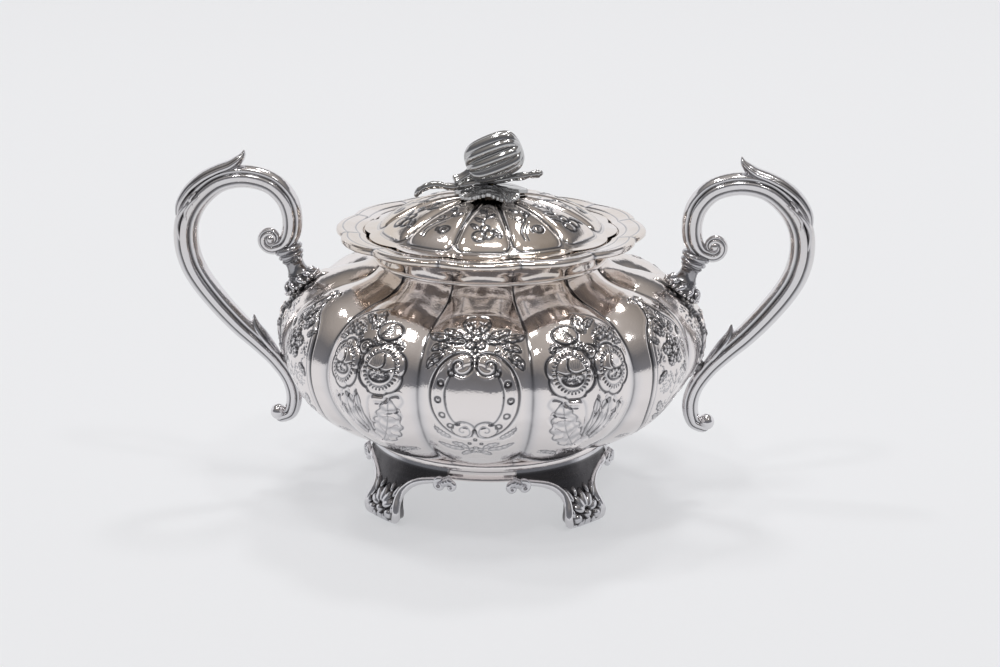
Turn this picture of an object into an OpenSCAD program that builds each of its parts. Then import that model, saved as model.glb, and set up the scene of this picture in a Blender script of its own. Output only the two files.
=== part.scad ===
// Two-handled silver sugar bowl with a lift-off lid. Millimetres, +Z up.
// Origin: centre of the footprint, on the surface that the bowl stands on.
// The handles lie along X, and the front panel of the bowl faces -Y.

/* [Bowl] */
// Number of lobes round the bowl, the rim and the lid
lobes = 12; // [8:4:16]
// Greatest radius of the bowl, on the crest of a lobe
belly_r = 80.2; // [78:0.1:82]
// How deep the valleys between lobes are pressed in
lobe_depth = 4; // [2:0.5:5]
// Thickness of the raised silver sheet
wall = 1; // [0.8:0.1:1.4]
// Outer radius of the neck
neck_r = 42; // [41:0.5:43]

/* [Rim] */
// Radius of the scalloped rim on a crest
rim_r = 58; // [56:0.5:60]
// How far the rim draws in at each notch
rim_notch = 2.8; // [1:0.2:4]

/* [Lid] */
// Height of the raised petals over the grooves between them
petal_h = 1.6; // [0.8:0.2:2]
// Gap all round between the lid and the rim that it rests in
lid_gap = 0.4; // [0.3:0.1:0.8]

/* [Handles] */
// Thickest radius of a handle's rod
rod_r = 4.7; // [4.2:0.1:4.9]
// How far the handles' outer edge is from the centre
handle_reach = 120.5; // [117:0.5:124]

/* [Feet] */
// Radius at the outer edge of each sole
sole_r = 52.6; // [50:0.2:54]
// Half the angle that a foot's bracket covers along the ring
bracket_half_angle = 29; // [24:1:32]

/* [Finial] */
// Length of the melon along its own axis
melon_l = 22; // [18:0.5:23]
// Greatest radius of the melon
melon_r = 8.9; // [7:0.1:9.2]
// Ribs round the melon
melon_ribs = 10; // [8:1:12]

/* [Hidden] */

$fn = 64;
lobe_steps = 72 / lobes;      // facets across one lobe
turn_steps = lobes * lobe_steps;
rod_sides = 12;               // facets round a rod

// Heights
ring_bottom_z = 18.2;
ring_top_z = 26.6;
base_z = 25;
neck_top_z = 97.6;
seam_z = 92.3;
ledge_z = 100.9;
rim_top_z = 104;
lid_rest_gap = 0.3;
lid_edge_z = 102.4;
apex_z = 118.3;

// Radii
bezel_r = neck_r - wall - 0.6;
bezel_wall = 0.9;
lid_edge_r = 47.7 - lid_gap;
petal_end_r = 41;
stud_r = 1.5;
nut_r = 3.6;
washer_r = 4.6;

// Fastening under the crown of the lid
washer_h = 1;
washer_z = apex_z - wall - 0.4 - washer_h;
nut_h = 3;

// Outline of the bowl on the crest of a lobe, as radius and height, from the base to the neck
bowl_outline = [[38, base_z], [47.5, 26.4], [58, 31], [69.5, 39.5], [belly_r - 3, 50], [belly_r, 60],
                [belly_r - 1.2, 69], [74.5, 77], [67, 83.3], [58, 87], [50, 88.2], [44.6, 89],
                [neck_r + 0.3, 91], [neck_r, 94], [neck_r, neck_top_z]];

// Outline of the lid on the crest of a petal, from the brim's edge to the flat at the top
lid_outline = [[lid_edge_r, lid_edge_z], [petal_end_r, 104.8], [34.5, 110.9], [28, 114.5], [20, 117],
               [12, 118.1], [6, apex_z]];

// Handle centre-line from the volute over the top and down to the lower curl, as x and height
handle_x = handle_reach - rod_r;
handle_line = [[82.4, 93.6], [78.2, 95.3], [75.4, 100], [75, 107], [77.3, 113.7], [83.1, 119.1],
               [92.6, 121.3], [102.4, 119.2], [110.4, 112.6], [handle_x - 0.9, 104.5], [handle_x, 96],
               [handle_x - 1.6, 88], [110.6, 80.8], [104.3, 72.2], [96.6, 63.5], [88.8, 56], [82.6, 49.2],
               [78, 42], [76.3, 35], [77.8, 28.6], [81.4, 26.6]];
// Radius of the rod at each of those points, as a part of its thickest radius
handle_taper = [0.5, 0.64, 0.78, 0.83, 0.88, 0.9, 0.91, 0.91, 0.94, 0.98, 1,
                1, 0.98, 0.94, 0.88, 0.79, 0.69, 0.65, 0.66, 0.6, 0.56];
volute_at = [83.2, 97.4];
volute_r = 4.8;
curl_at = [82.7, 27.4];
curl_r = 3.5;

// Leaf that caps the handle, from its root on the outer side to its free tip on top
leaf_line = [[handle_x + 2.8, 104], [handle_x + 1.4, 110], [113.2, 116], [108, 120.6], [102.5, 123.6],
             [97.5, 125.6], [93.8, 127.9], [91.7, 130.8]];
leaf_size = [0.8, 1.8, 2.2, 2.3, 2.2, 1.9, 1.3, 0.5];
// Bud on the inner side, low down
spur_line = [[82.6, 53], [86.2, 58], [88.9, 62.6], [90.4, 66.2]];
spur_size = [1.6, 2.2, 2.1, 0.9];

// Socket that holds a handle: middle of its foot on the shoulder, lean of the foot and of the stem
socket_at = [71.6, 80.4];
socket_foot_lean = 37;
socket_lean = 21;
socket_h = 10.8;
collar_h = 4.4;
// Pad under the lower joint: place on the belly, and how far its face looks down
pad_at = [77.8, 51];
pad_dip = 17;

// Finial
melon_at = [1.3, 130];
melon_lean = 67;
twig_line = [[-27.3, 116.4], [-24.5, 118.6], [-20.6, 119.5], [-16.2, 119], [-11.5, 118.9], [-4, 120.1],
             [3, 121], [8.6, 122.4], [13.5, 123.3], [18.2, 124.2]];
twig_size = [0.9, 1.3, 1.4, 1.3, 1.4, 1.4, 1.4, 1.3, 1.2, 1.3];
leaf_points = 9;
leaf_r = 13.5;
leaf_thick = 1;

// ---- Functions -------------------------------------------------------------------------------

// Place across a lobe at an azimuth: 0 on the crest, 1 in the valleys on either side
function across(azimuth, count) =
    let (pitch = 360 / count, part = (azimuth + 360 + pitch / 2) % pitch / pitch)
    abs(2 * part - 1);

// Point on a smooth curve through hand-placed points, part t of the way from point i to the next
function curve_point(p, i, t) =
    let (a = p[max(i - 1, 0)], b = p[i], c = p[i + 1], d = p[min(i + 2, len(p) - 1)])
    0.5 * (2 * b + (c - a) * t + (2 * a - 5 * b + 4 * c - d) * t * t
           + (3 * b - a - 3 * c + d) * t * t * t);

// The whole smooth curve, with a number of steps between neighbouring points
function curve(p, steps) =
    [for (i = [0 : len(p) - 2]) for (k = [0 : steps - 1]) curve_point(p, i, k / steps), p[len(p) - 1]];

// Direction of travel at point i of a list of plane points, and its normal to the right
function travel(p, i) =
    let (d = p[min(i + 1, len(p) - 1)] - p[max(i - 1, 0)]) d / norm(d);
function right_of(d) = [d[1], -d[0]];

// Ring of points round Z at a radius and height that both depend on the place across a lobe
function lobed_ring(crest, drop, power) =
    [for (j = [0 : turn_steps - 1])
        let (azimuth = 360 * j / turn_steps,
             at = crest + drop * pow(across(azimuth, lobes), power))
        [at[0] * sin(azimuth), -at[0] * cos(azimuth), at[1]]];

// Part of the full valley depth at part s of the bowl's outline, none at the base and the neck
function valley_part(s) = pow(sin(180 * min(s / 0.88, 1)), 0.6);

// Rings of a rod that follows a plane curve, with one radius at each point and a flatness along Y
function rod_rings(line, radii, sides, flat) =
    [for (i = [0 : len(line) - 1])
        let (d = travel(line, i), n = right_of(d))
        [for (k = [0 : sides - 1])
            let (a = 360 * k / sides, out = radii[i] * cos(a))
            [line[i][0] + n[0] * out, radii[i] * flat * sin(a), line[i][1] + n[1] * out]]];

// Straight-line reading of a table of [input, output] rows
function reading(table, x) = lookup(x, table);

// ---- Building blocks -------------------------------------------------------------------------

// Closed skin over rings of equal count, each turning anticlockwise seen from above, with a
// point that closes each end
module capped_skin(rings, first, last) {
    n = len(rings[0]);
    m = len(rings);
    points = concat([for (ring = rings) each ring], [first, last]);
    sides = [for (i = [0 : m - 2]) for (j = [0 : n - 1])
        let (a = i * n + j, b = i * n + (j + 1) % n) each [[a, a + n, b + n], [a, b + n, b]]];
    first_fan = [for (j = [0 : n - 1]) [m * n, j, (j + 1) % n]];
    last_fan = [for (j = [0 : n - 1]) [(m - 1) * n + j, m * n + 1, (m - 1) * n + (j + 1) % n]];
    polyhedron(points, concat(sides, first_fan, last_fan));
}

// Closed skin over rings whose last one joins the first, as round a rim
module looped_skin(rings) {
    n = len(rings[0]);
    m = len(rings);
    faces = [for (i = [0 : m - 1]) for (j = [0 : n - 1])
        let (a = i * n + j, b = i * n + (j + 1) % n, c = (i + 1) % m * n + j, d = (i + 1) % m * n + (j + 1) % n)
        each [[a, c, d], [a, d, b]]];
    polyhedron([for (ring = rings) each ring], faces);
}

// Rod along a plane curve in X and Z
module rod(line, radii, sides, flat = 1) {
    last = len(line) - 1;
    capped_skin(rod_rings(line, radii, sides, flat),
                [line[0][0], 0, line[0][1]], [line[last][0], 0, line[last][1]]);
}

// Rod along the smooth curve through hand-placed points
module curved_rod(points, sizes, sides, steps, flat = 1) {
    line = curve([for (i = [0 : len(points) - 1]) [points[i][0], points[i][1], sizes[i]]], steps);
    rod([for (p = line) [p[0], p[1]]], [for (p = line) p[2]], sides, flat);
}

// ---- Bowl, rim and ring ----------------------------------------------------------------------

module bowl() {
    line = curve(bowl_outline, 2);
    last = len(line) - 1;
    outer = [for (i = [0 : last])
        let (n = right_of(travel(line, i)))
        lobed_ring(line[i], -n * lobe_depth * valley_part(i / last), 2)];
    inner = [for (i = [last : -1 : 0])
        let (n = right_of(travel(line, i)))
        lobed_ring(line[i] - n * wall, -n * lobe_depth * valley_part(i / last), 2)];
    color("silver")
        capped_skin(concat(outer, inner), [0, 0, base_z], [0, 0, base_z + wall]);
}

module rim_border() {
    // Section of the rim on a crest, up the outside and back down the inside
    lip_r = rim_r;
    seat_r = lid_edge_r + lid_gap;
    section = [[neck_r, neck_top_z], [neck_r + 0.9, 99], [46.5, 99.8], [seat_r + 1.2, 100], [53, 101.6],
               [lip_r - 0.8, 101.2], [lip_r, 102], [lip_r, 103], [lip_r - 0.9, 103.8], [lip_r - 2.4, rim_top_z],
               [52, 103.6], [seat_r + 0.5, 102.9], [seat_r, 102.5], [seat_r, ledge_z], [44, ledge_z],
               [neck_r + 0.2, ledge_z - 0.6], [neck_r - wall, neck_top_z + 1], [neck_r - wall, neck_top_z]];
    // The notches fade out from the lip towards the round neck
    rings = [for (p = section)
        let (part = max(min((p[0] - 44) / (lip_r - 44), 1), 0))
        lobed_ring(p, [-rim_notch * pow(part, 0.5), 0], 2)];
    color("silver")
        looped_skin(rings);
}

module neck_wire() {
    color("gainsboro")
        rotate_extrude($fn = 96)
            translate([neck_r + 0.55, seam_z])
                circle(r = 0.75, $fn = 24);
}

module foot_ring() {
    color("silver")
        rotate_extrude($fn = 96)
            polygon([[41.6, ring_bottom_z], [43.6, ring_bottom_z], [44.2, 19], [44.2, 21.6], [44.9, 22.4],
                     [45.4, 23.4], [45.6, 24.4], [45.3, 25.5], [44.6, 26], [42.6, 25.8], [42.2, 24],
                     [41.6, 22]]);
}

// ---- Feet ------------------------------------------------------------------------------------

// Foot on the front of the ring, later turned to its place: a bracket along the ring that narrows
// to a leg, which flares out to a thick toe
module foot() {
    half_angle = [[0, 6.6], [1.5, 8.2], [5, 9], [9, 8.6], [11.5, 9.6], [13.5, 13], [15, 19],
                  [16.2, bracket_half_angle - 2], [17.2, bracket_half_angle], [24, bracket_half_angle]];
    outer_r = [[0, sole_r - 1.2], [1.5, sole_r], [4, sole_r + 0.6], [8, sole_r - 1], [12, 49.2], [16, 47.4],
               [20, 46.4], [24, 46]];
    thickness = [[0, 5.4], [1.5, 6.4], [5, 5.6], [9, 3.4], [13, 2.2], [17, 2], [24, 1.4]];
    heights = [0, 1.5, 4, 7, 9.5, 11.5, 13.5, 15, 16.2, 17.2, 20.5, 23.6];
    across_steps = 10;
    rings = [for (z = heights)
        let (w = reading(half_angle, z), r = reading(outer_r, z), t = reading(thickness, z))
        concat([for (k = [0 : across_steps])
                    let (a = w * (2 * k / across_steps - 1)) [r * sin(a), -r * cos(a), z]],
               [for (k = [across_steps : -1 : 0])
                    let (a = w * (2 * k / across_steps - 1)) [(r - t) * sin(a), -(r - t) * cos(a), z]])];
    color("gainsboro")
        capped_skin(rings, [0, -(sole_r - 4), 0], [0, -45.2, heights[len(heights) - 1]]);
}

module foot_front_left() { rotate([0, 0, -45]) foot(); }
module foot_front_right() { rotate([0, 0, 45]) foot(); }
module foot_back_left() { rotate([0, 0, -135]) foot(); }
module foot_back_right() { rotate([0, 0, 135]) foot(); }

// ---- Handles ---------------------------------------------------------------------------------

// Right handle: scrolled rod with a volute, a capping leaf, a bud and a ball at the lower end
module handle() {
    color("silver")
        union() {
            curved_rod(handle_line, rod_r * handle_taper, rod_sides, 2);
            curved_rod(leaf_line, leaf_size, 8, 2, 1.4);
            curved_rod(spur_line, spur_size, 8, 1);
            translate([volute_at[0], 0, volute_at[1]])
                rotate([90, 0, 0])
                    cylinder(r = volute_r, h = 5.4, center = true, $fn = 32);
            translate([curl_at[0], 0, curl_at[1]])
                sphere(r = curl_r, $fn = 32);
        }
}

// Frame on the shoulder of the bowl, with Z leaning out by an angle
module on_shoulder(lean) {
    translate([socket_at[0], 0, socket_at[1]])
        rotate([0, lean, 0])
            children();
}

// Flared foot that lies on the shoulder, with a waisted stem
module handle_socket() {
    color("gainsboro")
        union() {
            on_shoulder(socket_foot_lean)
                rotate_extrude($fn = 48)
                    polygon([[0, -0.6], [7.6, -0.6], [7.8, 0.4], [6.8, 1.6], [5.2, 2.8], [0, 3.4]]);
            on_shoulder(socket_lean)
                rotate_extrude($fn = 48)
                    polygon([[0, 0.6], [5.4, 0.6], [4.9, 3], [3.8, 5.4], [3.4, 7.4], [3.6, 9.2],
                             [4.1, socket_h - 0.6], [4.1, socket_h], [0, socket_h]]);
        }
}

// Double bead between the stem and the rod
module handle_collar() {
    color("silver")
        on_shoulder(socket_lean)
            translate([0, 0, socket_h])
                rotate_extrude($fn = 48)
                    polygon([[0, 0], [4.3, 0], [4.9, 0.6], [4.9, 1.3], [4.4, 1.9], [5.2, 2.5], [5.4, 3.2],
                             [5, 3.9], [4.3, collar_h], [0, collar_h]]);
}

// Small pad where the lower part of the rod meets the belly
module handle_pad() {
    color("gainsboro")
        translate([pad_at[0], 0, pad_at[1]])
            rotate([0, 90 + pad_dip, 0])
                translate([0, 0, -0.5])
                    cylinder(r = 2.6, h = 2.9, $fn = 32);
}

module handle_right() { handle(); }
module handle_left() { mirror([1, 0, 0]) handle(); }
module handle_socket_right() { handle_socket(); }
module handle_socket_left() { mirror([1, 0, 0]) handle_socket(); }
module handle_collar_right() { handle_collar(); }
module handle_collar_left() { mirror([1, 0, 0]) handle_collar(); }
module handle_pad_right() { handle_pad(); }
module handle_pad_left() { mirror([1, 0, 0]) handle_pad(); }

// ---- Lid -------------------------------------------------------------------------------------

module lid() {
    line = curve(lid_outline, 2);
    last = len(line) - 1;
    under_z = ledge_z + lid_rest_gap;
    hollow_r = petal_end_r - 0.6;
    hole_r = stud_r + 0.1;
    // Grooves run from the end of the petals inwards, and the brim keeps the rim's scallops
    function groove(r) = petal_h * max(0, min((petal_end_r + 1 - r) / 5, (r - 5) / 8, 1));
    function scallop(r) = rim_notch * 0.6 * max(0, (r - petal_end_r) / (lid_edge_r - petal_end_r));
    outer = [for (p = line) lobed_ring(p, [-scallop(p[0]), -groove(p[0])], p[0] > petal_end_r ? 2 : 4)];
    inner = [for (i = [last : -1 : 3]) lobed_ring(line[i] - [0.6, wall + 0.4], [0, -groove(line[i][0])], 4)];
    color("silver")
        looped_skin(concat([lobed_ring([lid_edge_r, under_z], [-scallop(lid_edge_r), 0], 2)], outer,
                           [lobed_ring([hole_r, apex_z], [0, 0], 1),
                            lobed_ring([hole_r, apex_z - wall - 0.4], [0, 0], 1)], inner,
                           [lobed_ring([hollow_r, 103.2], [0, 0], 1),
                            lobed_ring([hollow_r, under_z], [0, 0], 1)]));
}

// Plain band under the lid that drops into the neck
module lid_bezel() {
    color("gainsboro")
        rotate_extrude($fn = 96)
            translate([bezel_r - bezel_wall, 94.6])
                square([bezel_wall, 7.2]);
}

// ---- Finial ----------------------------------------------------------------------------------

module finial_melon() {
    around = melon_ribs * 4;
    levels = 12;
    // Barrel outline with blunt ends, and a groove between each two ribs
    function barrel(t) = melon_r * pow(1 - pow(abs(t), 2.8), 0.42);
    rings = [for (i = [1 : levels - 1])
        let (t = -cos(180 * i / levels))
        [for (j = [0 : around - 1])
            let (a = 360 * j / around, r = barrel(t) * (1 - 0.13 * pow(across(a, melon_ribs), 3)))
            [r * cos(a), r * sin(a), t * melon_l / 2]]];
    color("darkgray")
        translate([melon_at[0], 0, melon_at[1]])
            rotate([0, melon_lean, 0])
                capped_skin(rings, [0, 0, -melon_l / 2], [0, 0, melon_l / 2]);
}

// Stub of the melon's own stalk, at its lower end
module finial_stalk() {
    color("dimgray")
        translate([melon_at[0], 0, melon_at[1]])
            rotate([0, melon_lean, 0])
                translate([2.6, 0, -melon_l / 2 - 3.8])
                    rotate([0, -14, 0])
                        cylinder(r = 2, h = 6, $fn = 32);
}

// Pointed leaf that lies over the crown of the lid, under the melon
module finial_leaf() {
    steps = leaf_points * 4;
    function edge_r(a) = leaf_r * (1 - 0.16 * across(a, leaf_points));
    function top_z(r) = 119.7 - 0.011 * r * r;
    rings = concat(
        [for (part = [0.45, 0.75, 1]) [for (j = [0 : steps - 1])
            let (a = 360 * j / steps, r = part * edge_r(a))
            [r * cos(a), r * sin(a), top_z(r) - leaf_thick]]],
        [for (part = [1, 0.75, 0.45]) [for (j = [0 : steps - 1])
            let (a = 360 * j / steps, r = part * edge_r(a))
            [r * cos(a), r * sin(a), top_z(r)]]]);
    color("dimgray")
        difference() {
            capped_skin(rings, [0, 0, top_z(0) - leaf_thick], [0, 0, top_z(0)]);
            translate([0, 0, apex_z - 2])
                cylinder(r = stud_r, h = 6, $fn = 32);
        }
}

// Twig that lies across the leaf, with both ends free
module finial_twig() {
    color("dimgray")
        curved_rod(twig_line, twig_size, 8, 1);
}

module finial_stud() {
    color("gold")
        translate([0, 0, washer_z - nut_h - 0.5])
            cylinder(r = stud_r, h = 10.6, $fn = 32);
}

module finial_washer() {
    color("silver")
        translate([0, 0, washer_z])
            difference() {
                cylinder(r = washer_r, h = washer_h, $fn = 32);
                translate([0, 0, -1])
                    cylinder(r = stud_r, h = washer_h + 2, $fn = 32);
            }
}

module finial_nut() {
    color("gold")
        translate([0, 0, washer_z - nut_h])
            difference() {
                cylinder(r = nut_r, h = nut_h, $fn = 6);
                translate([0, 0, -1])
                    cylinder(r = stud_r, h = nut_h + 2, $fn = 32);
            }
}

// ---- Nodes -----------------------------------------------------------------------------------

bowl();
rim_border();
neck_wire();
foot_ring();
foot_front_left();
foot_front_right();
foot_back_left();
foot_back_right();
handle_left();
handle_right();
handle_collar_left();
handle_collar_right();
handle_socket_left();
handle_socket_right();
handle_pad_left();
handle_pad_right();
lid();
lid_bezel();
finial_melon();
finial_leaf();
finial_twig();
finial_stalk();
finial_stud();
finial_washer();
finial_nut();
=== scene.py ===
"""Silver sugar bowl with two handles and a lift-off lid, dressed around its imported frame.

Sizes are in millimetres until a mesh is made. X runs along the handles, the front faces -Y, and an
azimuth turns from the front towards +X.
"""

import logging
import math
from dataclasses import dataclass, field
from enum import Enum

import bmesh
import bpy
import numpy as np
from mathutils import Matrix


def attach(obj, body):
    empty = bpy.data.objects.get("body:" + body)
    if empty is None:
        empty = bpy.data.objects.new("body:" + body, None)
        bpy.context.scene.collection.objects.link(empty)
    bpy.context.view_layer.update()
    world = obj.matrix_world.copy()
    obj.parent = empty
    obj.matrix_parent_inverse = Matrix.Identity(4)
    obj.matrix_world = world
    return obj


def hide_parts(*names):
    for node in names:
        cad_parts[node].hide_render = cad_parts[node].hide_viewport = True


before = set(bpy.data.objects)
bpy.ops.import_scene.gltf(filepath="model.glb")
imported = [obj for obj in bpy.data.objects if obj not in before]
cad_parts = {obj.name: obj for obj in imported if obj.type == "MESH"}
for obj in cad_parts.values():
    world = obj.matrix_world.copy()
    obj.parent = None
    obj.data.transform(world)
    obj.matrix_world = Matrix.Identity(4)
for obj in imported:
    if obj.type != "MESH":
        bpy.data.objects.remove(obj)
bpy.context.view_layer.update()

MM = 0.001
LOBES = 12
HALF_LOBE = math.pi / LOBES
WELD_GAP_M = 2e-6
RECIPE_WELD_GAP_M = 1e-6
SLIVER_M = 1e-7
LOG = logging.getLogger("sugar_bowl")


# ---- Curves and closed skins -------------------------------------------------------------------


def smooth_curve(points: object, steps: int) -> np.ndarray:
    """Smooth curve through given points.

    Args:
        points: rows of coordinates, in any number of columns.
        steps: how many steps there are between neighbouring points.

    Returns:
        The curve's points, one row each.
    """
    p = np.asarray(points, float)
    start = np.repeat(np.arange(len(p) - 1), steps)
    t = np.tile(np.arange(steps) / steps, len(p) - 1)[:, None]
    a, b = p[np.maximum(start - 1, 0)], p[start]
    c, d = p[start + 1], p[np.minimum(start + 2, len(p) - 1)]
    line = 0.5 * (2 * b + (c - a) * t + (2 * a - 5 * b + 4 * c - d) * t**2 + (3 * b - a - 3 * c + d) * t**3)
    return np.vstack([line, p[-1]])


def smooth_step(x: np.ndarray) -> np.ndarray:
    """Soft rise from 0 to 1 as x goes from 0 to 1."""
    x = np.clip(x, 0, 1)
    return x * x * (3 - 2 * x)


class Outline:
    """Smooth line of radius and height, read by the distance along it."""

    def __init__(self, points: object, steps: int = 40) -> None:
        """Lays the line through its points.

        Args:
            points: rows of radius and height.
            steps: steps between neighbouring points.
        """
        self.line = smooth_curve(points, steps)
        leg = np.linalg.norm(np.diff(self.line, axis=0), axis=1)
        self.s = np.concatenate([[0], np.cumsum(leg)])
        self.part = np.linspace(0, 1, len(self.line))
        travel = np.gradient(self.line, self.s, axis=0)
        travel /= np.linalg.norm(travel, axis=1)[:, None]
        self.normal = np.column_stack([travel[:, 1], -travel[:, 0]])

    def read(self, s: np.ndarray) -> tuple[np.ndarray, np.ndarray, np.ndarray]:
        """Reads the line.

        Args:
            s: distances along it.

        Returns:
            The points, the normals to the right of travel, and the part of the way by point count.
        """
        at = np.column_stack([np.interp(s, self.s, self.line[:, k]) for k in (0, 1)])
        out = np.column_stack([np.interp(s, self.s, self.normal[:, k]) for k in (0, 1)])
        return at, out, np.interp(s, self.s, self.part)


def turned(radius: np.ndarray, height: np.ndarray, azimuth: np.ndarray) -> np.ndarray:
    """Points at radii, heights and azimuths, in the bowl's frame."""
    return np.stack([radius * np.sin(azimuth), -radius * np.cos(azimuth), height + 0 * azimuth], axis=-1)


def grid_faces(ids: np.ndarray, inward: bool = False) -> np.ndarray:
    """Four-sided faces over a grid of point numbers whose rows rise and columns turn with azimuth."""
    quads = np.stack([ids[:-1, :-1], ids[:-1, 1:], ids[1:, 1:], ids[1:, :-1]], axis=-1).reshape(-1, 4)
    return quads[:, ::-1] if inward else quads


def zip_edges(a: np.ndarray, b: np.ndarray) -> np.ndarray:
    """Triangles between two open edges that run side by side, whatever their point counts."""
    i = j = 0
    faces = []
    while i < len(a) - 1 or j < len(b) - 1:
        if j == len(b) - 1 or (i < len(a) - 1 and (i + 1) / (len(a) - 1) <= (j + 1) / (len(b) - 1)):
            faces.append((a[i], a[i + 1], b[j]))
            i += 1
        else:
            faces.append((a[i], b[j + 1], b[j]))
            j += 1
    return np.array(faces)


@dataclass
class Skin:
    """Points and faces of one piece, gathered sheet by sheet."""

    points: list = field(default_factory=list)
    tarnish: list = field(default_factory=list)
    quads: list = field(default_factory=list)
    tris: list = field(default_factory=list)
    count: int = 0

    def lay(self, points: np.ndarray, tarnish: object = 0.0) -> np.ndarray:
        """Adds a grid of points.

        Args:
            points: coordinates in an array whose last axis is x, y, z.
            tarnish: how dark each point is, from patina and painted shade, or one value for all.

        Returns:
            The points' numbers, in the shape of the grid.
        """
        shape = points.shape[:-1]
        flat = points.reshape(-1, 3)
        ids = np.arange(self.count, self.count + len(flat)).reshape(shape)
        self.count += len(flat)
        self.points.append(flat)
        self.tarnish.append(np.broadcast_to(np.asarray(tarnish, float), shape).reshape(-1))
        return ids

    def sheet(self, points: np.ndarray, tarnish: object = 0.0, inward: bool = False,
              wrap: bool = False) -> np.ndarray:
        """Adds a grid of points with its faces.

        Args:
            points: grid of coordinates.
            tarnish: how dark each point is, from patina and painted shade.
            inward: True where the faces look the other way.
            wrap: True where the last column joins the first.

        Returns:
            The points' numbers.
        """
        ids = self.lay(points, tarnish)
        faces = np.hstack([ids, ids[:, :1]]) if wrap else ids
        self.quads.append(grid_faces(faces, inward))
        return ids

    def close(self, outer: np.ndarray, inner: np.ndarray) -> None:
        """Joins the four edges of an outer sheet to those of the inner sheet behind it."""
        self.tris += [zip_edges(outer[0, ::-1], inner[0, ::-1]), zip_edges(outer[::-1, -1], inner[::-1, -1]),
                      zip_edges(outer[-1], inner[-1]), zip_edges(outer[:, 0], inner[:, 0])]

    def rod(self, path: np.ndarray, radii: np.ndarray, sides: int = 16, flat: float = 1.0,
            side: tuple = (0, 1, 0), reeds: float = 0.0, tarnish: object = 0.0) -> None:
        """Adds a rod with rounded ends.

        Args:
            path: points of its centre-line.
            radii: its radius at each point.
            sides: points round it.
            flat: its thickness across the side direction, as a part of the other one.
            side: direction that stays across the rod.
            reeds: depth of the grooves on each broad face, as a part of the radius.
            tarnish: how dark it is.
        """
        travel = np.gradient(path, axis=0)
        travel /= np.linalg.norm(travel, axis=1)[:, None]
        across = np.asarray(side, float) - travel * (travel @ np.asarray(side, float))[:, None]
        across /= np.linalg.norm(across, axis=1)[:, None]
        outer = np.cross(across, travel)
        turn = np.linspace(0, 2 * math.pi, sides, endpoint=False)
        from_groove = np.abs(np.degrees(np.arccos(np.clip(np.abs(np.sin(turn)), 0, 1))) - 29)
        groove = np.exp(-((from_groove / 10) ** 2))
        reach = 1 - reeds * groove
        way_out = (np.cos(turn)[None, :, None] * outer[:, None]
                   + flat * np.sin(turn)[None, :, None] * across[:, None])
        rings = path[:, None] + radii[:, None, None] * reach[None, :, None] * way_out
        dark = np.maximum(np.broadcast_to(np.asarray(tarnish, float), radii.shape)[:, None],
                          0.42 * groove**1.5 * (reeds > 0))
        ends = []
        for last, way in ((0, -1), (-1, 1)):
            dome = [path[last] + way * travel[last] * radii[last] * math.sin(a)
                    + (rings[last] - path[last]) * math.cos(a) for a in (0.4, 0.8, 1.2)]
            ends.append(np.array(dome))
        whole = np.concatenate([ends[0][::-1], rings, ends[1]])
        shade = np.concatenate([dark[:1]] * 3 + [dark] + [dark[-1:]] * 3)
        ids = self.sheet(whole, shade, wrap=True)
        for last, way, order in ((0, -1, 1), (-1, 1, -1)):
            tip = self.lay((path[last] + way * travel[last] * radii[last])[None], shade[last][0])[0]
            ring = ids[last][::order]
            self.tris.append(np.stack([np.full(sides, tip), np.roll(ring, -1), ring], axis=-1))

    def lathe(self, profile: object, segments: int = 96, flutes: tuple = (0, 0.0),
              tarnish: object = 0.0) -> int:
        """Adds a closed turned solid, whose profile is a loop of radius and height.

        Args:
            profile: rows of radius and height, up the outside and back down the inside.
            segments: points round it.
            flutes: how many flutes there are, and their depth as a part of the radius.
            tarnish: how dark it is.

        Returns:
            The number of its first point.
        """
        line = np.asarray(profile, float)
        azimuth = np.linspace(0, 2 * math.pi, segments, endpoint=False)
        wave = 1 - flutes[1] * (0.5 - 0.5 * np.cos(flutes[0] * azimuth))
        loop = np.vstack([line, line[:1]])
        first = self.count
        self.sheet(turned(loop[:, :1] * wave[None], loop[:, 1:], azimuth[None]), tarnish, wrap=True)
        return first

    def shape(self, first: int, move: object) -> None:
        """Changes the points from a number on.

        Args:
            first: number of the first point changed; it starts a sheet.
            move: function of an array of points that gives the new ones.
        """
        seen = 0
        for k, block in enumerate(self.points):
            if seen >= first:
                self.points[k] = move(block)
            seen += len(block)

    def mesh(self, name: str, weld: bool = True, crease: float = 38.0) -> bpy.types.Mesh:
        """Makes the mesh, in metres.

        Args:
            name: the mesh's name.
            weld: True where points that fall together are merged.
            crease: angle in degrees past which an edge is left sharp.

        Returns:
            The mesh, with its tarnish attribute of patina and painted shade.
        """
        points = np.concatenate(self.points) * MM
        quads = np.concatenate(self.quads) if self.quads else np.zeros((0, 4), int)
        tris = np.concatenate(self.tris) if self.tris else np.zeros((0, 3), int)
        mesh = bpy.data.meshes.new(name)
        mesh.vertices.add(len(points))
        mesh.vertices.foreach_set("co", points.ravel())
        loops = np.concatenate([quads.ravel(), tris.ravel()])
        mesh.loops.add(len(loops))
        mesh.loops.foreach_set("vertex_index", loops)
        starts = np.concatenate([np.arange(len(quads)) * 4, len(quads) * 4 + np.arange(len(tris)) * 3])
        mesh.polygons.add(len(starts))
        mesh.polygons.foreach_set("loop_start", starts)
        mesh.update(calc_edges=True)
        mesh.attributes.new("tarnish", "FLOAT", "POINT").data.foreach_set("value",
                                                                          np.concatenate(self.tarnish))
        if weld:
            weld_mesh(mesh, WELD_GAP_M, drop_slivers=True)
        mesh.validate()
        finish_shading(mesh, crease)
        return mesh


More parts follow.
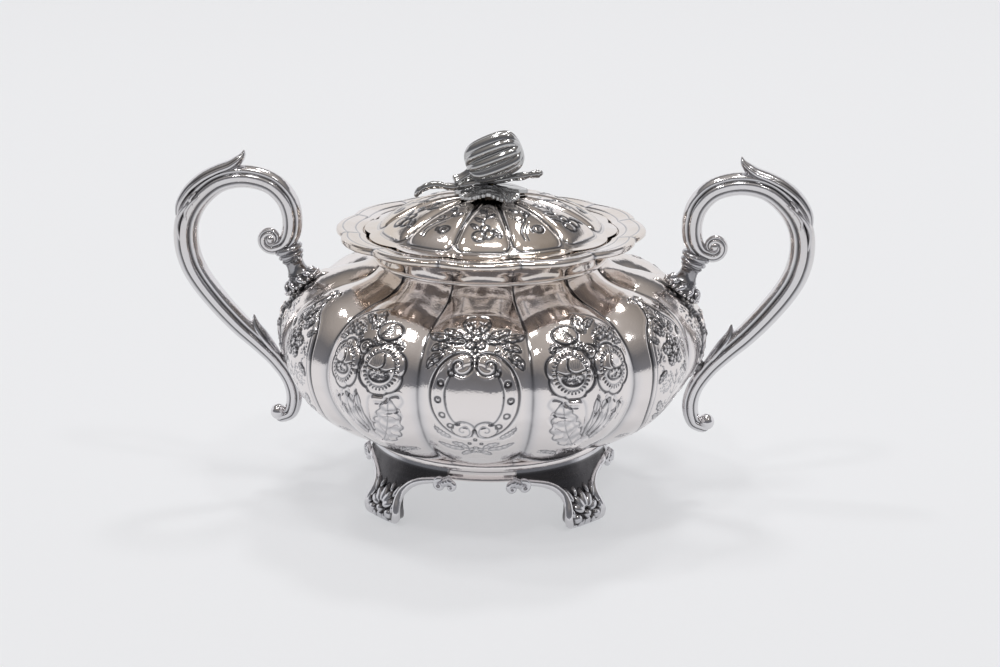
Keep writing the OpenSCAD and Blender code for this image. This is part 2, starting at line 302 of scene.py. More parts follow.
def weld_mesh(mesh: bpy.types.Mesh, gap: float, drop_slivers: bool = False) -> None:
    """Merges points that fall together and turns every face outwards.

    Args:
        mesh: the mesh that is changed.
        gap: how far apart, in metres, points still count as one.
        drop_slivers: True where edges and faces without a size are taken out.
    """
    work = bmesh.new()
    work.from_mesh(mesh)
    bmesh.ops.remove_doubles(work, verts=work.verts, dist=gap)
    if drop_slivers:
        bmesh.ops.dissolve_degenerate(work, edges=work.edges, dist=SLIVER_M)
    bmesh.ops.recalc_face_normals(work, faces=work.faces)
    work.to_mesh(mesh)
    work.free()


def finish_shading(mesh: bpy.types.Mesh, crease: float) -> None:
    """Shades a mesh smooth, apart from the edges sharper than an angle in degrees."""
    mesh.polygons.foreach_set("use_smooth", np.ones(len(mesh.polygons), bool))
    mesh.set_sharp_from_angle(angle=math.radians(crease))
    mesh.update()


# ---- Finishes ----------------------------------------------------------------------------------


class Wiring:
    """Adds nodes to a tree and joins them, so that a tree reads as a recipe."""

    def __init__(self, tree: bpy.types.NodeTree) -> None:
        """Starts on a tree."""
        self.tree = tree

    def add(self, kind: str, *values: object, **settings: object) -> bpy.types.Node:
        """Adds a node.

        Args:
            values: values or sockets for its inputs in order, None where one is left alone.
            kind: the node's type.
            settings: the node's own properties, and its inputs by name with spaces as underscores.

        Returns:
            The node.
        """
        node = self.tree.nodes.new(kind)
        named = {}
        for key, value in settings.items():
            if hasattr(node, key):
                setattr(node, key, value)
            else:
                named[key] = value
        pairs = list(zip(node.inputs, values)) + [(node.inputs[k.replace("_", " ")],
                                                   v) for k, v in named.items()]
        for socket, value in pairs:
            if isinstance(value, bpy.types.NodeSocket):
                self.tree.links.new(value, socket)
            elif value is not None:
                socket.default_value = value
        return node

    def math(self, operation: str, *values: object) -> bpy.types.NodeSocket:
        """Adds a sum on one or two values and gives its result."""
        return self.add("ShaderNodeMath", *values, operation=operation).outputs[0]

    def blend(self, factor: object, a: object, b: object) -> bpy.types.NodeSocket:
        """Adds a mix of two colours and gives its result."""
        node = self.add("ShaderNodeMix", data_type="RGBA")
        for socket, value in ((node.inputs[0], factor), (node.inputs[6], a), (node.inputs[7], b)):
            if isinstance(value, bpy.types.NodeSocket):
                self.tree.links.new(value, socket)
            else:
                socket.default_value = (*value, 1) if isinstance(value, tuple) else value
        return node.outputs[2]


@dataclass(frozen=True)
class MetalFinish:
    """Polished metal, darkened by patina in its recesses and by painted shade, with warm toning in patches on
    its upper parts that also paints a warm reflection there.
    """

    name: str
    colour: tuple
    tarnish: tuple = (0.040, 0.038, 0.042)
    film_and_shade_blue: tuple = (0.60, 0.63, 0.70)
    toning_and_reflection_colour: tuple = (0.60, 0.50, 0.38)
    gloss: float = 0.05
    haze: float = 0.09
    toning_and_reflection_amount: float = 0.65
    veil: float = 0.0
    grain: float = 0.05

    def material(self) -> bpy.types.Material:
        """Builds the material, or gives the one already built.

        Returns:
            A material of nodes on Object coordinates and the tarnish attribute, which holds patina and
            painted shade.
        """
        known = bpy.data.materials.get(self.name)
        if known:
            return known
        made = bpy.data.materials.new(self.name)
        made.use_nodes = True
        made.node_tree.nodes.clear()
        w = Wiring(made.node_tree)
        place = w.add("ShaderNodeTexCoord").outputs["Object"]
        cloud = w.add("ShaderNodeTexNoise", place, None, 38.0, 4.0, 0.55).outputs[0]
        patches = w.add("ShaderNodeTexNoise", place, None, 120.0, 3.0, 0.6).outputs[0]
        pits = w.add("ShaderNodeTexNoise", place, None, 1400.0, 2.0, 0.5).outputs[0]
        scuffs = w.add("ShaderNodeTexNoise",
                       w.add("ShaderNodeMapping", place, Scale=(900, 900, 90)).outputs[0], None, 1.0, 2.0,
                       0.5).outputs[0]
        dark = w.add("ShaderNodeAttribute", attribute_name="tarnish").outputs["Fac"]
        height = w.add("ShaderNodeSeparateXYZ", place).outputs["Z"]
        # Painted warm reflection: the colour warms in toned patches from 60 to 105 mm up, where the upper
        # parts reflect the brownish room.
        high = w.add("ShaderNodeMapRange", height, 0.060, 0.105, 0.0, 1.0).outputs[0]
        spots = w.add("ShaderNodeMapRange", cloud, 0.35, 0.65, 0.15, 1.0).outputs[0]
        toned_and_reflected = w.math("MULTIPLY", w.math("MULTIPLY", high, spots), self.toning_and_reflection_amount)
        clean = w.blend(toned_and_reflected, self.colour, self.toning_and_reflection_colour)
        uneven = w.math("MULTIPLY_ADD", w.math("SUBTRACT", patches, 0.5), 0.5, 1.0)
        depth = w.math("MAXIMUM", w.math("MULTIPLY", dark, uneven), self.veil)
        # Pale bluish film at low values, which also paints the soft shade in the lobe valleys; the dark
        # colour of patina and painted shade at high values.
        ramp = w.add("ShaderNodeValToRGB", depth)
        for stop, tint in ((0.0, self.film_and_shade_blue), (0.8, self.tarnish)):
            ramp.color_ramp.elements[int(stop > 0)].position = stop
            ramp.color_ramp.elements[int(stop > 0)].color = (*tint, 1)
        middle = ramp.color_ramp.elements.new(0.3)
        middle.color = (0.21, 0.205, 0.21, 1)
        colour = w.blend(w.add("ShaderNodeMapRange", depth, 0.01, 0.3, 0.0, 1.0).outputs[0], clean,
                         ramp.outputs[0])
        rough = w.math("MULTIPLY_ADD", w.add("ShaderNodeMapRange", patches, 0.35, 0.7, 0.0, 1.0).outputs[0],
                       self.haze, self.gloss)
        worn = w.math("MULTIPLY_ADD", dark, 0.22, rough)
        ripple = w.add("ShaderNodeBump", self.grain, 0.0006, Height=w.math("ADD", pits, scuffs))
        shader = w.add("ShaderNodeBsdfPrincipled", Base_Color=colour, Metallic=1.0, Roughness=worn,
                       Normal=ripple.outputs[0])
        w.add("ShaderNodeOutputMaterial", shader.outputs[0])
        return made


@dataclass(frozen=True)
class PaperFinish:
    """Matt pale sweep that the bowl stands on."""

    name: str = "studio_sweep"
    colour: tuple = (0.44, 0.445, 0.455)
    glow: tuple = (0.44, 0.445, 0.455)

    def material(self) -> bpy.types.Material:
        """Builds the sweep's material."""
        made = bpy.data.materials.new(self.name)
        made.use_nodes = True
        made.node_tree.nodes.clear()
        w = Wiring(made.node_tree)
        place = w.add("ShaderNodeTexCoord").outputs["Object"]
        fibre = w.add("ShaderNodeTexNoise", place, None, 260.0, 3.0, 0.5).outputs[0]
        tint = w.blend(w.math("MULTIPLY", fibre, 0.05), self.colour, (0.38, 0.38, 0.39))
        shader = w.add("ShaderNodeBsdfPrincipled", Base_Color=tint, Roughness=0.7)
        shader.inputs["Specular IOR Level"].default_value = 0.15
        shader.inputs["Emission Color"].default_value = (*self.glow, 1)
        shader.inputs["Emission Strength"].default_value = 1.0
        w.add("ShaderNodeOutputMaterial", shader.outputs[0])
        return made


@dataclass(frozen=True)
class PackedFinish:
    """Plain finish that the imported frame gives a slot, worn as it is by the finial."""

    name: str

    def material(self) -> bpy.types.Material:
        """Gives the frame's own material."""
        return bpy.data.materials[self.name]


Finish = MetalFinish | PackedFinish

POLISHED = MetalFinish("raised_silver_polished", (0.84, 0.80, 0.79))
LINING = MetalFinish("raised_silver_lining", (0.84, 0.81, 0.79), gloss=0.16, veil=0.03)
CAST = MetalFinish("cast_silver_polished", (0.76, 0.745, 0.755), gloss=0.08, toning_and_reflection_amount=0.15, veil=0.035)
OXIDISED = PackedFinish("oxidised_silver")
BRASS = MetalFinish("fastener_brass_turned", (0.78, 0.60, 0.30), tarnish=(0.12, 0.08, 0.04), gloss=0.2,
                    toning_and_reflection_amount=0.0)


class Slot(Enum):
    """Material slots that the record names."""

    RAISED = "raised_silver"
    CAST = "cast_silver"
    OXIDISED = "oxidised_silver"
    BRASS = "fastener_brass"


class Body(Enum):
    """Bodies that a piece can ride on."""

    BOWL = "bowl"
    LID = "lid"


def place(name: str, mesh: bpy.types.Mesh, finish: Finish, body: Body, slot: Slot, stands_for: tuple) -> None:
    """Puts a finished mesh in the scene as a piece.

    Args:
        name: the piece's name.
        mesh: its mesh, in metres.
        finish: what it is made of.
        body: the body it rides on.
        slot: the record's slot; not used.
        stands_for: CAD nodes that it replaces.
    """
    piece = bpy.data.objects.new(name, mesh)
    bpy.context.scene.collection.objects.link(piece)
    mesh.materials.clear()
    mesh.materials.append(finish.material())
    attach(piece, body.value)
    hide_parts(*stands_for)
    LOG.info("%s: %d faces on %s", name, len(mesh.polygons), body.value)


# ---- Chasing -----------------------------------------------------------------------------------


class Relief:
    """Height and darkening of a sheet, from chasing patina and painted shade, by place across and along it.
    """

    def __init__(self, across: np.ndarray, along: np.ndarray, seed: int = 7) -> None:
        """Starts a plain sheet.

        Args:
            across: place across the sheet of each grid point, rising along a row.
            along: place along it, rising from row to row and even in each row.
            seed: start of the random order of the stippling.
        """
        self.across, self.along = across, along
        self.height = np.zeros(across.shape)
        self.tarnish = np.zeros(across.shape)
        self.random = np.random.default_rng(seed)

    def window(self, low: np.ndarray, high: np.ndarray) -> tuple | None:
        """Part of the grid that a box covers, or None where it covers none of it."""
        first, last = np.searchsorted(self.along[:, 0], [low[1], high[1]])
        rows = slice(max(first - 1, 0), last + 1)
        band = self.across[rows]
        cols = np.flatnonzero(((band >= low[0]) & (band <= high[0])).any(axis=0)) if band.size else []
        return (rows, slice(cols[0], cols[-1] + 1)) if len(cols) else None

    def near(self, line: np.ndarray, reach: float) -> tuple | None:
        """Measures the grid round a line.

        Args:
            line: points across and along.
            reach: how far from the line the measure goes.

        Returns:
            The window, the distance to the line, the part of its length, and the side as +1 or -1.
        """
        at = self.window(line.min(axis=0) - reach, line.max(axis=0) + reach)
        if at is None:
            return None
        x, y = self.across[at], self.along[at]
        best, part, side = np.full(x.shape, 1e6), np.zeros(x.shape), np.ones(x.shape)
        for i, (a, b) in enumerate(zip(line[:-1], line[1:])):
            leg = b - a
            t = np.clip(((x - a[0]) * leg[0] + (y - a[1]) * leg[1]) / max(leg @ leg, 1e-9), 0, 1)
            dx, dy = x - a[0] - t * leg[0], y - a[1] - t * leg[1]
            apart = np.hypot(dx, dy)
            closer = apart < best
            best = np.where(closer, apart, best)
            part = np.where(closer, (i + t) / (len(line) - 1), part)
            side = np.where(closer, np.sign(leg[0] * dy - leg[1] * dx), side)
        return at, best, part, side

    def darken(self, at: tuple, amount: np.ndarray) -> None:
        """Tarnishes a window, keeping what is darker already."""
        self.tarnish[at] = np.maximum(self.tarnish[at], amount)

    def line(self, points: object, width: float = 0.5, height: float = -0.28, tarnish: float = 0.75,
             taper: bool = False, steps: int = 6) -> None:
        """Draws one smooth stroke.

        Args:
            points: places it goes through.
            width: half its width.
            height: how proud it stands; a sunk stroke throws up a burr on both sides.
            tarnish: how dark it is.
            taper: True where it thins out at both ends.
            steps: steps between neighbouring points.
        """
        found = self.near(smooth_curve(points, steps), 3.2 * width)
        if found is None:
            return
        at, apart, part, _ = found
        size = width * (np.sin(math.pi * np.clip(part, 0.06, 0.94)) ** 0.6 if taper else 1)
        burr = np.exp(-(((apart - 1.75 * size) / (0.7 * size)) ** 2))
        self.height[at] += height * (np.exp(-((apart / size) ** 2)) - (0.3 * burr if height < 0 else 0))
        self.darken(at, tarnish * np.exp(-((apart / (0.85 * size)) ** 2)))

    def mirrored(self, points: object, **stroke: object) -> None:
        """Draws a stroke and its mirror image across the middle."""
        line = np.asarray(points, float)
        self.line(line, **stroke)
        self.line(line * (-1, 1), **stroke)

    def boss(self, centre: tuple, radii: tuple, height: float, power: float = 0.6,
             outline: float = 0.7) -> None:
        """Raises a rounded boss with a sunk outline.

        Args:
            centre: its middle.
            radii: its half-width across and along.
            height: how proud it stands.
            power: small for a flat top with steep sides.
            outline: how dark the outline is, 0 for none.
        """
        found = self.inside(centre, radii, 0, 1.3)
        if found is None:
            return
        at, q, _ = found
        self.height[at] += height * np.clip(1 - q**2, 0, 1) ** power
        if outline:
            edge = np.exp(-(((q - 1.04) * min(radii) / 0.42) ** 2))
            self.height[at] -= 0.2 * edge
            self.darken(at, outline * edge)

    def inside(self, centre: tuple, radii: tuple, turn: float, reach: float) -> tuple | None:
        """Measures the grid round an oval.

        Args:
            centre: the oval's middle.
            radii: its half-widths.
            turn: how far it is turned, in degrees.
            reach: how many times its size the measure goes.

        Returns:
            The window, the distance from the middle as a part of the radius, and the angle.
        """
        mid = np.array(centre, float)
        at = self.window(mid - max(radii) * reach, mid + max(radii) * reach)
        if at is None:
            return None
        dx, dy = self.across[at] - mid[0], self.along[at] - mid[1]
        c, s = math.cos(math.radians(turn)), math.sin(math.radians(turn))
        u, v = (dx * c + dy * s) / radii[0], (dy * c - dx * s) / radii[1]
        return at, np.hypot(u, v), np.arctan2(v, u)

    def leaf(self, base: tuple, tip: tuple, width: float, bend: float = 0.0, height: float = 0.5,
             veins: int = 5, ruffle: float = 0.0) -> None:
        """Raises a pointed leaf with a sunk middle vein, slanting side veins and a sunk outline.

        Args:
            base: where it grows from.
            tip: its point.
            width: its full width.
            bend: how far its middle bows to the left of the way from base to tip.
            height: how proud it stands.
            veins: pairs of side veins.
            ruffle: how deep the lobes of its edge are.
        """
        a, b = np.array(base, float), np.array(tip, float)
        way = (b - a) / np.linalg.norm(b - a)
        middle = (a + b) / 2 + bend * np.array([-way[1], way[0]])
        found = self.near(smooth_curve([a, middle, b], 7), width)
        if found is None:
            return
        at, apart, part, _ = found
        half = width / 2 * np.sin(math.pi * np.clip(part, 0, 1) ** 0.8) ** 0.8
        half = half * (1 - ruffle + ruffle * np.abs(np.cos(math.pi * veins * part))) + 0.02
        full = np.clip(1 - (apart / half) ** 2, 0, 1)
        ribs = 0.5 + 0.5 * np.cos(2 * math.pi * (veins * part - 0.9 * apart / width))
        vein = np.exp(-((apart / 0.3) ** 2)) * (full > 0) * (part < 0.96)
        edge = np.exp(-(((apart - half) / 0.36) ** 2)) * ((part > 0.01) & (part < 0.99))
        self.height[at] += height * full**0.55 * (0.72 + 0.28 * ribs) - 0.45 * height * vein - 0.2 * edge
        self.darken(at, np.maximum(0.75 * edge, np.maximum(0.6 * vein, 0.45 * (1 - ribs) * (full > 0.1))))

    def stipple(self, centre: tuple, radii: tuple, count: int, size: float = 0.32,
                depth: float = 0.16) -> None:
        """Punches a ground of small dots inside an oval."""
        for _ in range(count):
            r, a = math.sqrt(self.random.random()), self.random.random() * 2 * math.pi
            spot = np.array(centre) + (radii[0] * r * math.cos(a), radii[1] * r * math.sin(a))
            at = self.window(spot - 2.5 * size, spot + 2.5 * size)
            if at is not None:
                dot = np.exp(-((self.across[at] - spot[0]) ** 2 + (self.along[at] - spot[1]) ** 2) / size**2)
                self.height[at] -= depth * dot
                self.darken(at, 0.7 * dot)

    def spiral(self, centre: tuple, radius: float, start: float, turns: float, **stroke: object) -> None:
        """Draws a spiral from its outside in; a negative number of turns winds it clockwise."""
        t = np.linspace(0, 1, 15)
        angle = math.radians(start) + t * turns * 2 * math.pi
        size = radius * (1 - 0.88 * t)
        self.line(np.column_stack([centre[0] + size * np.cos(angle), centre[1] + size * np.sin(angle)]),
                  steps=2, **stroke)

    def rose(self, centre: tuple, radii: tuple) -> None:
        """Raises a full rose: ruffled outer petals, a ring of notches and a folded heart.

        Args:
            centre: its middle.
            radii: its half-width across and along.
        """
        found = self.inside(centre, radii, 0, 1.35)
        if found is None:
            return
        at, q, angle = found
        edge = 0.9 + 0.11 * np.abs(np.sin(3 * angle + 0.45)) ** 0.7
        petals = smooth_step((edge - q) / 0.16)
        cup = 0.32 * np.exp(-(((q - 0.86) / 0.055) ** 2))
        notch = np.exp(-(((q - 0.72) / 0.065) ** 4)) * (0.5 + 0.5 * np.cos(30 * angle)) ** 1.5
        crease = np.exp(-(((q - 0.62) / 0.03) ** 2))
        folds = np.exp(-((np.sin(3 * angle + 0.45) / 0.2) ** 2)) * (q > 0.79) * petals
        heart = 0.6 * np.clip(1 - (q / 0.61) ** 2, 0, 1) ** 0.5
        self.height[at] += 0.6 * petals - cup * petals - 0.4 * notch - 0.3 * crease - 0.3 * folds + heart
        rim = np.exp(-(((q - edge - 0.02) * min(radii) / 0.42) ** 2))
        self.height[at] -= 0.35 * rim
        self.darken(at, np.maximum.reduce([0.8 * rim, 0.8 * notch, 0.5 * crease, 0.5 * folds, 0.25 * cup]))
        x, y = centre
        r = min(radii) * 0.58
        self.line([(x - r, y + 0.1 * r), (x - 0.2 * r, y - 0.05 * r), (x + 0.25 * r, y + 0.35 * r),
                   (x + 0.1 * r, y + r)],
                  width=0.42, height=-0.4, tarnish=0.8)
        self.line([(x - 0.1 * r, y), (x + 0.4 * r, y - 0.1 * r), (x + r, y + 0.15 * r)], width=0.35,
                  height=-0.3)
        for k in range(5):
            self.line([(x - (0.75 - 0.2 * k) * r, y + 0.85 * r - 0.1 * k),
                       (x - (0.45 - 0.1 * k) * r, y + 0.2 * r)],
                      width=0.22, height=-0.1, tarnish=0.3, taper=True)
        self.boss((x - 0.05 * r, y - 0.45 * r), (0.74 * r, 0.4 * r), -0.4, power=0.5, outline=0.6)
        self.stipple((x - 0.05 * r, y - 0.45 * r), (0.66 * r, 0.36 * r), 34, 0.27, 0.22)

    def fern(self, stem: object, leaflets: int, length: float, **stroke: object) -> None:
        """Draws an engraved frond: a stem, with pairs of bent leaflets that shorten to its tip.

        Args:
            stem: places that the stem goes through.
            leaflets: pairs of leaflets.
            length: length of the longest one.
            stroke: what the strokes are like.
        """
        line = smooth_curve(stem, 12)
        self.line(line[::4], **stroke)
        for k in range(leaflets):
            i = int((k + 1) / (leaflets + 1) * (len(line) - 1))
            way = line[i] - line[i - 1]
            way /= np.linalg.norm(way)
            out = np.array([-way[1], way[0]])
            size = length * math.sin(math.pi * (0.25 + 0.7 * (k + 1) / (leaflets + 1)))
            for side in (-1, 1):
                end = line[i] + size * (0.9 * way + side * out)
                bow = line[i] + size * (0.25 * way + side * 0.62 * out)
                self.line([line[i], bow, end], taper=True, **stroke)


class Motif(Enum):
    """Chased designs, one to a lobe."""

    CARTOUCHE = "cartouche"
    ROSES = "roses"
    OGEE = "ogee"
    STRAP = "strapwork"


def chase_cartouche(r: Relief) -> None:
    """Scrolled oval cartouche under a flower, with a sprig below it."""
    at = (slice(None), slice(None))
    x, y = r.across, r.along
    outer = np.hypot(x / 15.6, (y - 61.4) / 16.2)
    inner = np.hypot(x / 10.0, (y - 62.0) / 11.4)
    band = smooth_step((1.0 - outer) / 0.05) * smooth_step((inner - 1.0) / 0.07)
    gap = smooth_step((np.abs(x) - 0.5) / 0.8)
    r.height[at] += 0.5 * band * gap
    field = smooth_step((1 - inner) / 0.6)
    r.height[at] += 0.25 * field
    r.mirrored([(0.7, 73.8), (1.2, 76.2), (4, 77.8), (8.2, 76.8), (12.4, 73), (15.2, 67.5), (16, 61.5),
                (15, 55.3), (12, 49.9), (7.9, 46.3), (4, 44.9), (1.2, 46), (0.4, 49)], width=0.55,
               height=-0.5, tarnish=0.8)
    r.mirrored([(7.9, 70.2), (9.6, 66.6), (10.3, 62.2), (9.5, 57), (7.6, 53.3), (5.8, 51.8)], width=0.45,
               height=-0.36)
    r.mirrored([(8.4, 74.6), (11.4, 71.6), (13.3, 67), (13.9, 61.4), (13, 56), (10.4, 51)], width=0.4,
               height=-0.1, tarnish=0.12)
    for side, hand in ((1, 1), (-1, -1)):
        start = 180 if side > 0 else 0
        r.boss((4.7 * side, 73.3), (4.4, 4.3), 0.5, power=0.5, outline=0)
        r.spiral((4.9 * side, 73.2), 4.4, 170 if side > 0 else 10, 0.95 * hand, width=0.55, height=-0.55,
                 tarnish=0.8)
        r.boss((3.9 * side, 49.2), (3.9, 3.5), 0.4, power=0.4, outline=0.75)
        r.spiral((3.9 * side, 49.2), 3.0, start + 90 * side, -1.1 * hand, width=0.38, height=-0.3,
                 tarnish=0.6)
        for px, py in ((7.9, 70.6), (11.6, 66.9), (12.7, 60.8), (11.2, 54.9), (8.3, 50.7)):
            r.boss((px * side, py), (1.05, 0.95), -0.3, power=0.5, outline=0.95)
            r.boss((px * side, py), (0.5, 0.5), 0.3, outline=0)
        for base, tip, width, bend in (
                ((4, 84), (11.4, 89.2), 4.2, -0.9), ((8.6, 84.2), (17.4, 88.2), 3.8, -1.2),
                ((3.6, 82), (11.6, 82.6), 3.6, 0.8), ((2, 86), (4.8, 92), 3.4, 0.6),
                ((9.4, 80.8), (16.2, 79.2), 3.8, 1.0), ((11.4, 77.4), (17.4, 71.8), 3.8, 1.2)):
            r.leaf((base[0] * side, base[1]), (tip[0] * side, tip[1]), width, bend * side, 0.5, 3, 0.25)
        r.stipple((9.6 * side, 79), (3.4, 1.8), 34)
        r.stipple((14.6 * side, 75.2), (1.8, 2.4), 18)
        r.line([(14.5 * side, 49.5), (13.4 * side, 45.5), (9.8 * side, 43.2), (7.6 * side, 43.9)], width=0.42,
               height=-0.22, tarnish=0.4, taper=True)
        r.leaf((8.4 * side, 44.2), (14.6 * side, 48.4), 2.6, -0.8 * side, 0.25, 5, 0.3)
        r.leaf((2.6 * side, 38.4), (8.4 * side, 41.2), 2.6, 0.6 * side, 0.2, 4, 0.25)
        r.leaf((4 * side, 37.6), (13.6 * side, 39.6), 2.6, -0.8 * side, 0.22, 5, 0.25)
        r.leaf((1.4 * side, 36.6), (5 * side, 32.6), 2.2, 0.5 * side, 0.2, 3, 0.2)
        r.line([(1 * side, 94.6), (3.6 * side, 94), (4.4 * side, 91.6), (2.6 * side, 90), (0.9 * side, 91.4)],
               width=0.4)
        r.boss((2.1 * side, 41.6), (0.55, 0.5), -0.3, outline=0.9)
        r.line([(0.3 * side, 95.2), (8 * side, 96), (14 * side, 93.4), (18.6 * side, 88.6)], width=0.7,
               height=0.16, tarnish=0.15)
    for k in range(5):
        a = math.radians(90 + 72 * k)
        r.leaf((1.2 * math.cos(a), 83.2 + 1.2 * math.sin(a)), (5.2 * math.cos(a), 83.2 + 4.9 * math.sin(a)),
               3.7, 0, 0.5, 3)
        r.leaf((0.5 * math.cos(a), 37.4 + 0.5 * math.sin(a)), (2.9 * math.cos(a), 37.4 + 2.6 * math.sin(a)),
               1.8, 0, 0.2, 2)
    r.boss((0, 83.2), (1.7, 1.6), 0.6, outline=0.95)
    r.stipple((0, 83.2), (1.3, 1.2), 10, 0.22)
    r.boss((0, 78.6), (0.9, 1.1), 0.4, outline=0.9)
    r.boss((0, 44), (0.6, 0.55), -0.3, outline=0.9)
    r.line([(-3, 30.8), (0, 30.2), (3, 30.8)], width=0.35, tarnish=0.4, taper=True)


def chase_roses(r: Relief) -> None:
    """Two roses with a bud between them, leaves above and engraved fronds below."""
    r.line([(-17.6, 84.4), (-13.6, 88.4), (-7.6, 92), (-1, 94)], width=0.5, height=-0.24, tarnish=0.5,
           taper=True)
    for base, tip, width, bend, height in (
            ((-1.6, 82.8), (-2.2, 92.6), 4.6, -0.6, 0.6), ((-4.4, 81), (-12.4, 85.8), 4.6, 0.8, 0.6),
            ((-9.6, 80.4), (-16.6, 86), 3.4, 0.9, 0.5), ((-12.6, 78.4), (-18, 78.6), 3.2, -0.8, 0.5),
            ((8.6, 79.4), (12.6, 77.6), 3.4, 0.4, 0.4), ((0.6, 80), (3.8, 77), 2.6, 0.4, 0.4),
            ((-3.6, 79.2), (-6.4, 77.6), 2.4, 0.3, 0.4), ((-3.4, 85.6), (-8.8, 89.8), 3.0, -0.7, 0.5)):
        r.leaf(base, tip, width, bend, height, 4, 0.25)
    r.boss((5.3, 83.6), (4.4, 3.9), 0.5, power=0.4, outline=0.95)
    for k in range(-3, 4):
        r.line([(2.6, 81), (4.6 + 0.2 * k, 83.2 + 0.9 * k), (7.6 - 0.3 * abs(k), 84.6 + 1.1 * k)], width=0.26,
               height=-0.18, tarnish=0.55, taper=True)
    r.stipple((-13.6, 75.2), (2.6, 1.6), 22)
    r.stipple((9.4, 78.2), (3.4, 1.2), 20)
    r.rose((-9.4, 68.8), (7.6, 9.4))
    r.rose((7.2, 69.2), (8.5, 9.6))
    r.boss((-1.3, 76), (2.3, 2.5), 0.5, power=0.5, outline=0.9)
    r.spiral((-1.3, 76), 1.6, 0, 1.3, width=0.3, height=-0.28, tarnish=0.8)
    r.leaf((-0.9, 71.6), (-1.9, 66.4), 1.6, 0, 0.35, 3)
    soft = {"width": 0.75, "height": -0.42, "tarnish": 0.3}
    r.line([(2.6, 36.8), (1.2, 44), (1.4, 52), (3.2, 58.6), (7.6, 59.8), (9.6, 58.2)], **soft)
    r.line([(4, 36.2), (5.2, 42), (4.2, 46.6), (6.4, 50.2), (10.4, 50.6), (12.2, 48.4), (10.8, 46.2)], **soft)
    r.line([(10.8, 46.2), (8.2, 44.6), (7.2, 42.2), (9.2, 40.6)], **soft)
    r.line([(12.2, 48.6), (14.2, 51.2), (13.6, 54.4), (15.6, 57.4), (14.2, 60.2), (11.2, 59.6), (9.2, 57.4),
            (5.4, 56.8)],
           **soft)
    r.line([(1.6, 46), (4.8, 51.4), (9.6, 53.2), (13.4, 53.8)], **soft)
    for base, tip, width, bend, veins, ruffle in (
            ((2.4, 37), (11, 59), 11, -1.5, 6, 0.22), ((0, 42), (-2.6, 60.4), 3.2, 0.5, 3, 0.1),
            ((-2, 41), (-7.4, 59), 3.4, 0.7, 3, 0.1), ((-3, 40), (-13, 56.5), 3.4, 0.8, 3, 0.1)):
        r.leaf(base, tip, width, bend, 0.3, veins, ruffle)
    for k, (px, py) in enumerate(((-2.6, 60.2), (-6.2, 59.2), (-10, 58.2), (-13.4, 56.4))):
        r.line([(1.6 - 0.3 * k, 36.8), (-1.4 - 1.2 * k, 46.6 - 0.6 * k), (px, py)], **soft)
        r.line([(px + 0.4, py - 1), (px - 1.8, py - 3.4), (px + 0.2, py - 7.6)], taper=True, **soft)
        r.line([(px, py), (px + 1.3, py - 3.4), (px + 0.7, py - 7)], taper=True, **soft)
        r.line([(px - 0.6, py - 6), (px + 0.8, py - 9.4)], width=0.4, height=-0.3, tarnish=0.9, taper=True)
    r.fern([(2, 37), (-5.2, 42.6), (-10.8, 49.6)], 5, 2.0, width=0.3, height=-0.14, tarnish=0.3)
    for side in (-1, 1):
        r.stipple((side * 9.5, 30.5), (3.4, 2.2), 60, 0.34, 0.2)
        r.leaf((side * 5.6, 28.6), (side * 12.6, 31.6), 2.6, side * 0.6, 0.4, 4, 0.3)


def chase_ogee(r: Relief) -> None:
    """Pointed panel in a double line, with a flower, leaves, a dotted ground and a sprig."""
    side_line = [(0.3, 92.6), (1.8, 88), (4.4, 82.6), (8.6, 78.4), (11.4, 73), (12.4, 66), (12.6, 58),
                 (11.4, 50), (8.6, 42), (4.4, 34), (0.6, 27.4)]
    inner = np.array(side_line) * (0.86, 1)
    inner[:, 1] = 60 + (inner[:, 1] - 60) * 0.93
    r.mirrored(side_line, width=0.6, height=-0.42, tarnish=0.85)
    r.mirrored(inner, width=0.32, height=-0.16, tarnish=0.45)
    r.mirrored([(0, 91), (1.6, 93.6), (3.2, 92.2), (2.4, 90.4)], width=0.4)
    for k in range(5):
        a = math.radians(90 + 72 * k)
        r.leaf((1.2 * math.cos(a), 68.6 + 1.2 * math.sin(a)), (6.6 * math.cos(a), 68.6 + 6.4 * math.sin(a)),
               5.0, 0, 0.7, 4, 0.2)
    r.boss((0, 68.6), (2, 1.9), 0.6, outline=0.95)
    r.stipple((0, 68.6), (1.6, 1.5), 14, 0.24)
    for s in (-1, 1):
        for base, tip, width, bend in (((1.4 * s, 75.4), (6.2 * s, 78.6), 3.0, -0.6 * s),
                                       ((0.6 * s, 77), (3.2 * s, 84.6), 2.8, 0.7 * s),
                                       ((6 * s, 62), (9.8 * s, 57.6), 2.6, 0.6 * s),
                                       ((7 * s, 72.6), (10 * s, 75.4), 2.2, 0.4 * s)):
            r.leaf(base, tip, width, bend, 0.5, 4, 0.25)
        r.stipple((5.4 * s, 57.4), (3.6, 4.6), 70, 0.34, 0.2)
        r.stipple((8.2 * s, 65.6), (1.7, 6), 30, 0.3)
        r.stipple((4 * s, 79), (2.6, 3), 20, 0.3)
        r.leaf((0.8 * s, 44), (6.6 * s, 50), 2.8, -0.7 * s, 0.35, 4, 0.3)
        r.leaf((0.6 * s, 39), (4.8 * s, 42.6), 2.4, 0.5 * s, 0.3, 4, 0.3)
        r.stipple((s * 9.5, 29.5), (3.2, 2), 50, 0.34, 0.2)
    r.fern([(0, 33), (0.4, 44), (-0.3, 55), (0, 61)], 6, 2.6, width=0.36, height=-0.22, tarnish=0.6)
    r.stipple((0, 87), (1.6, 2.4), 12, 0.3)


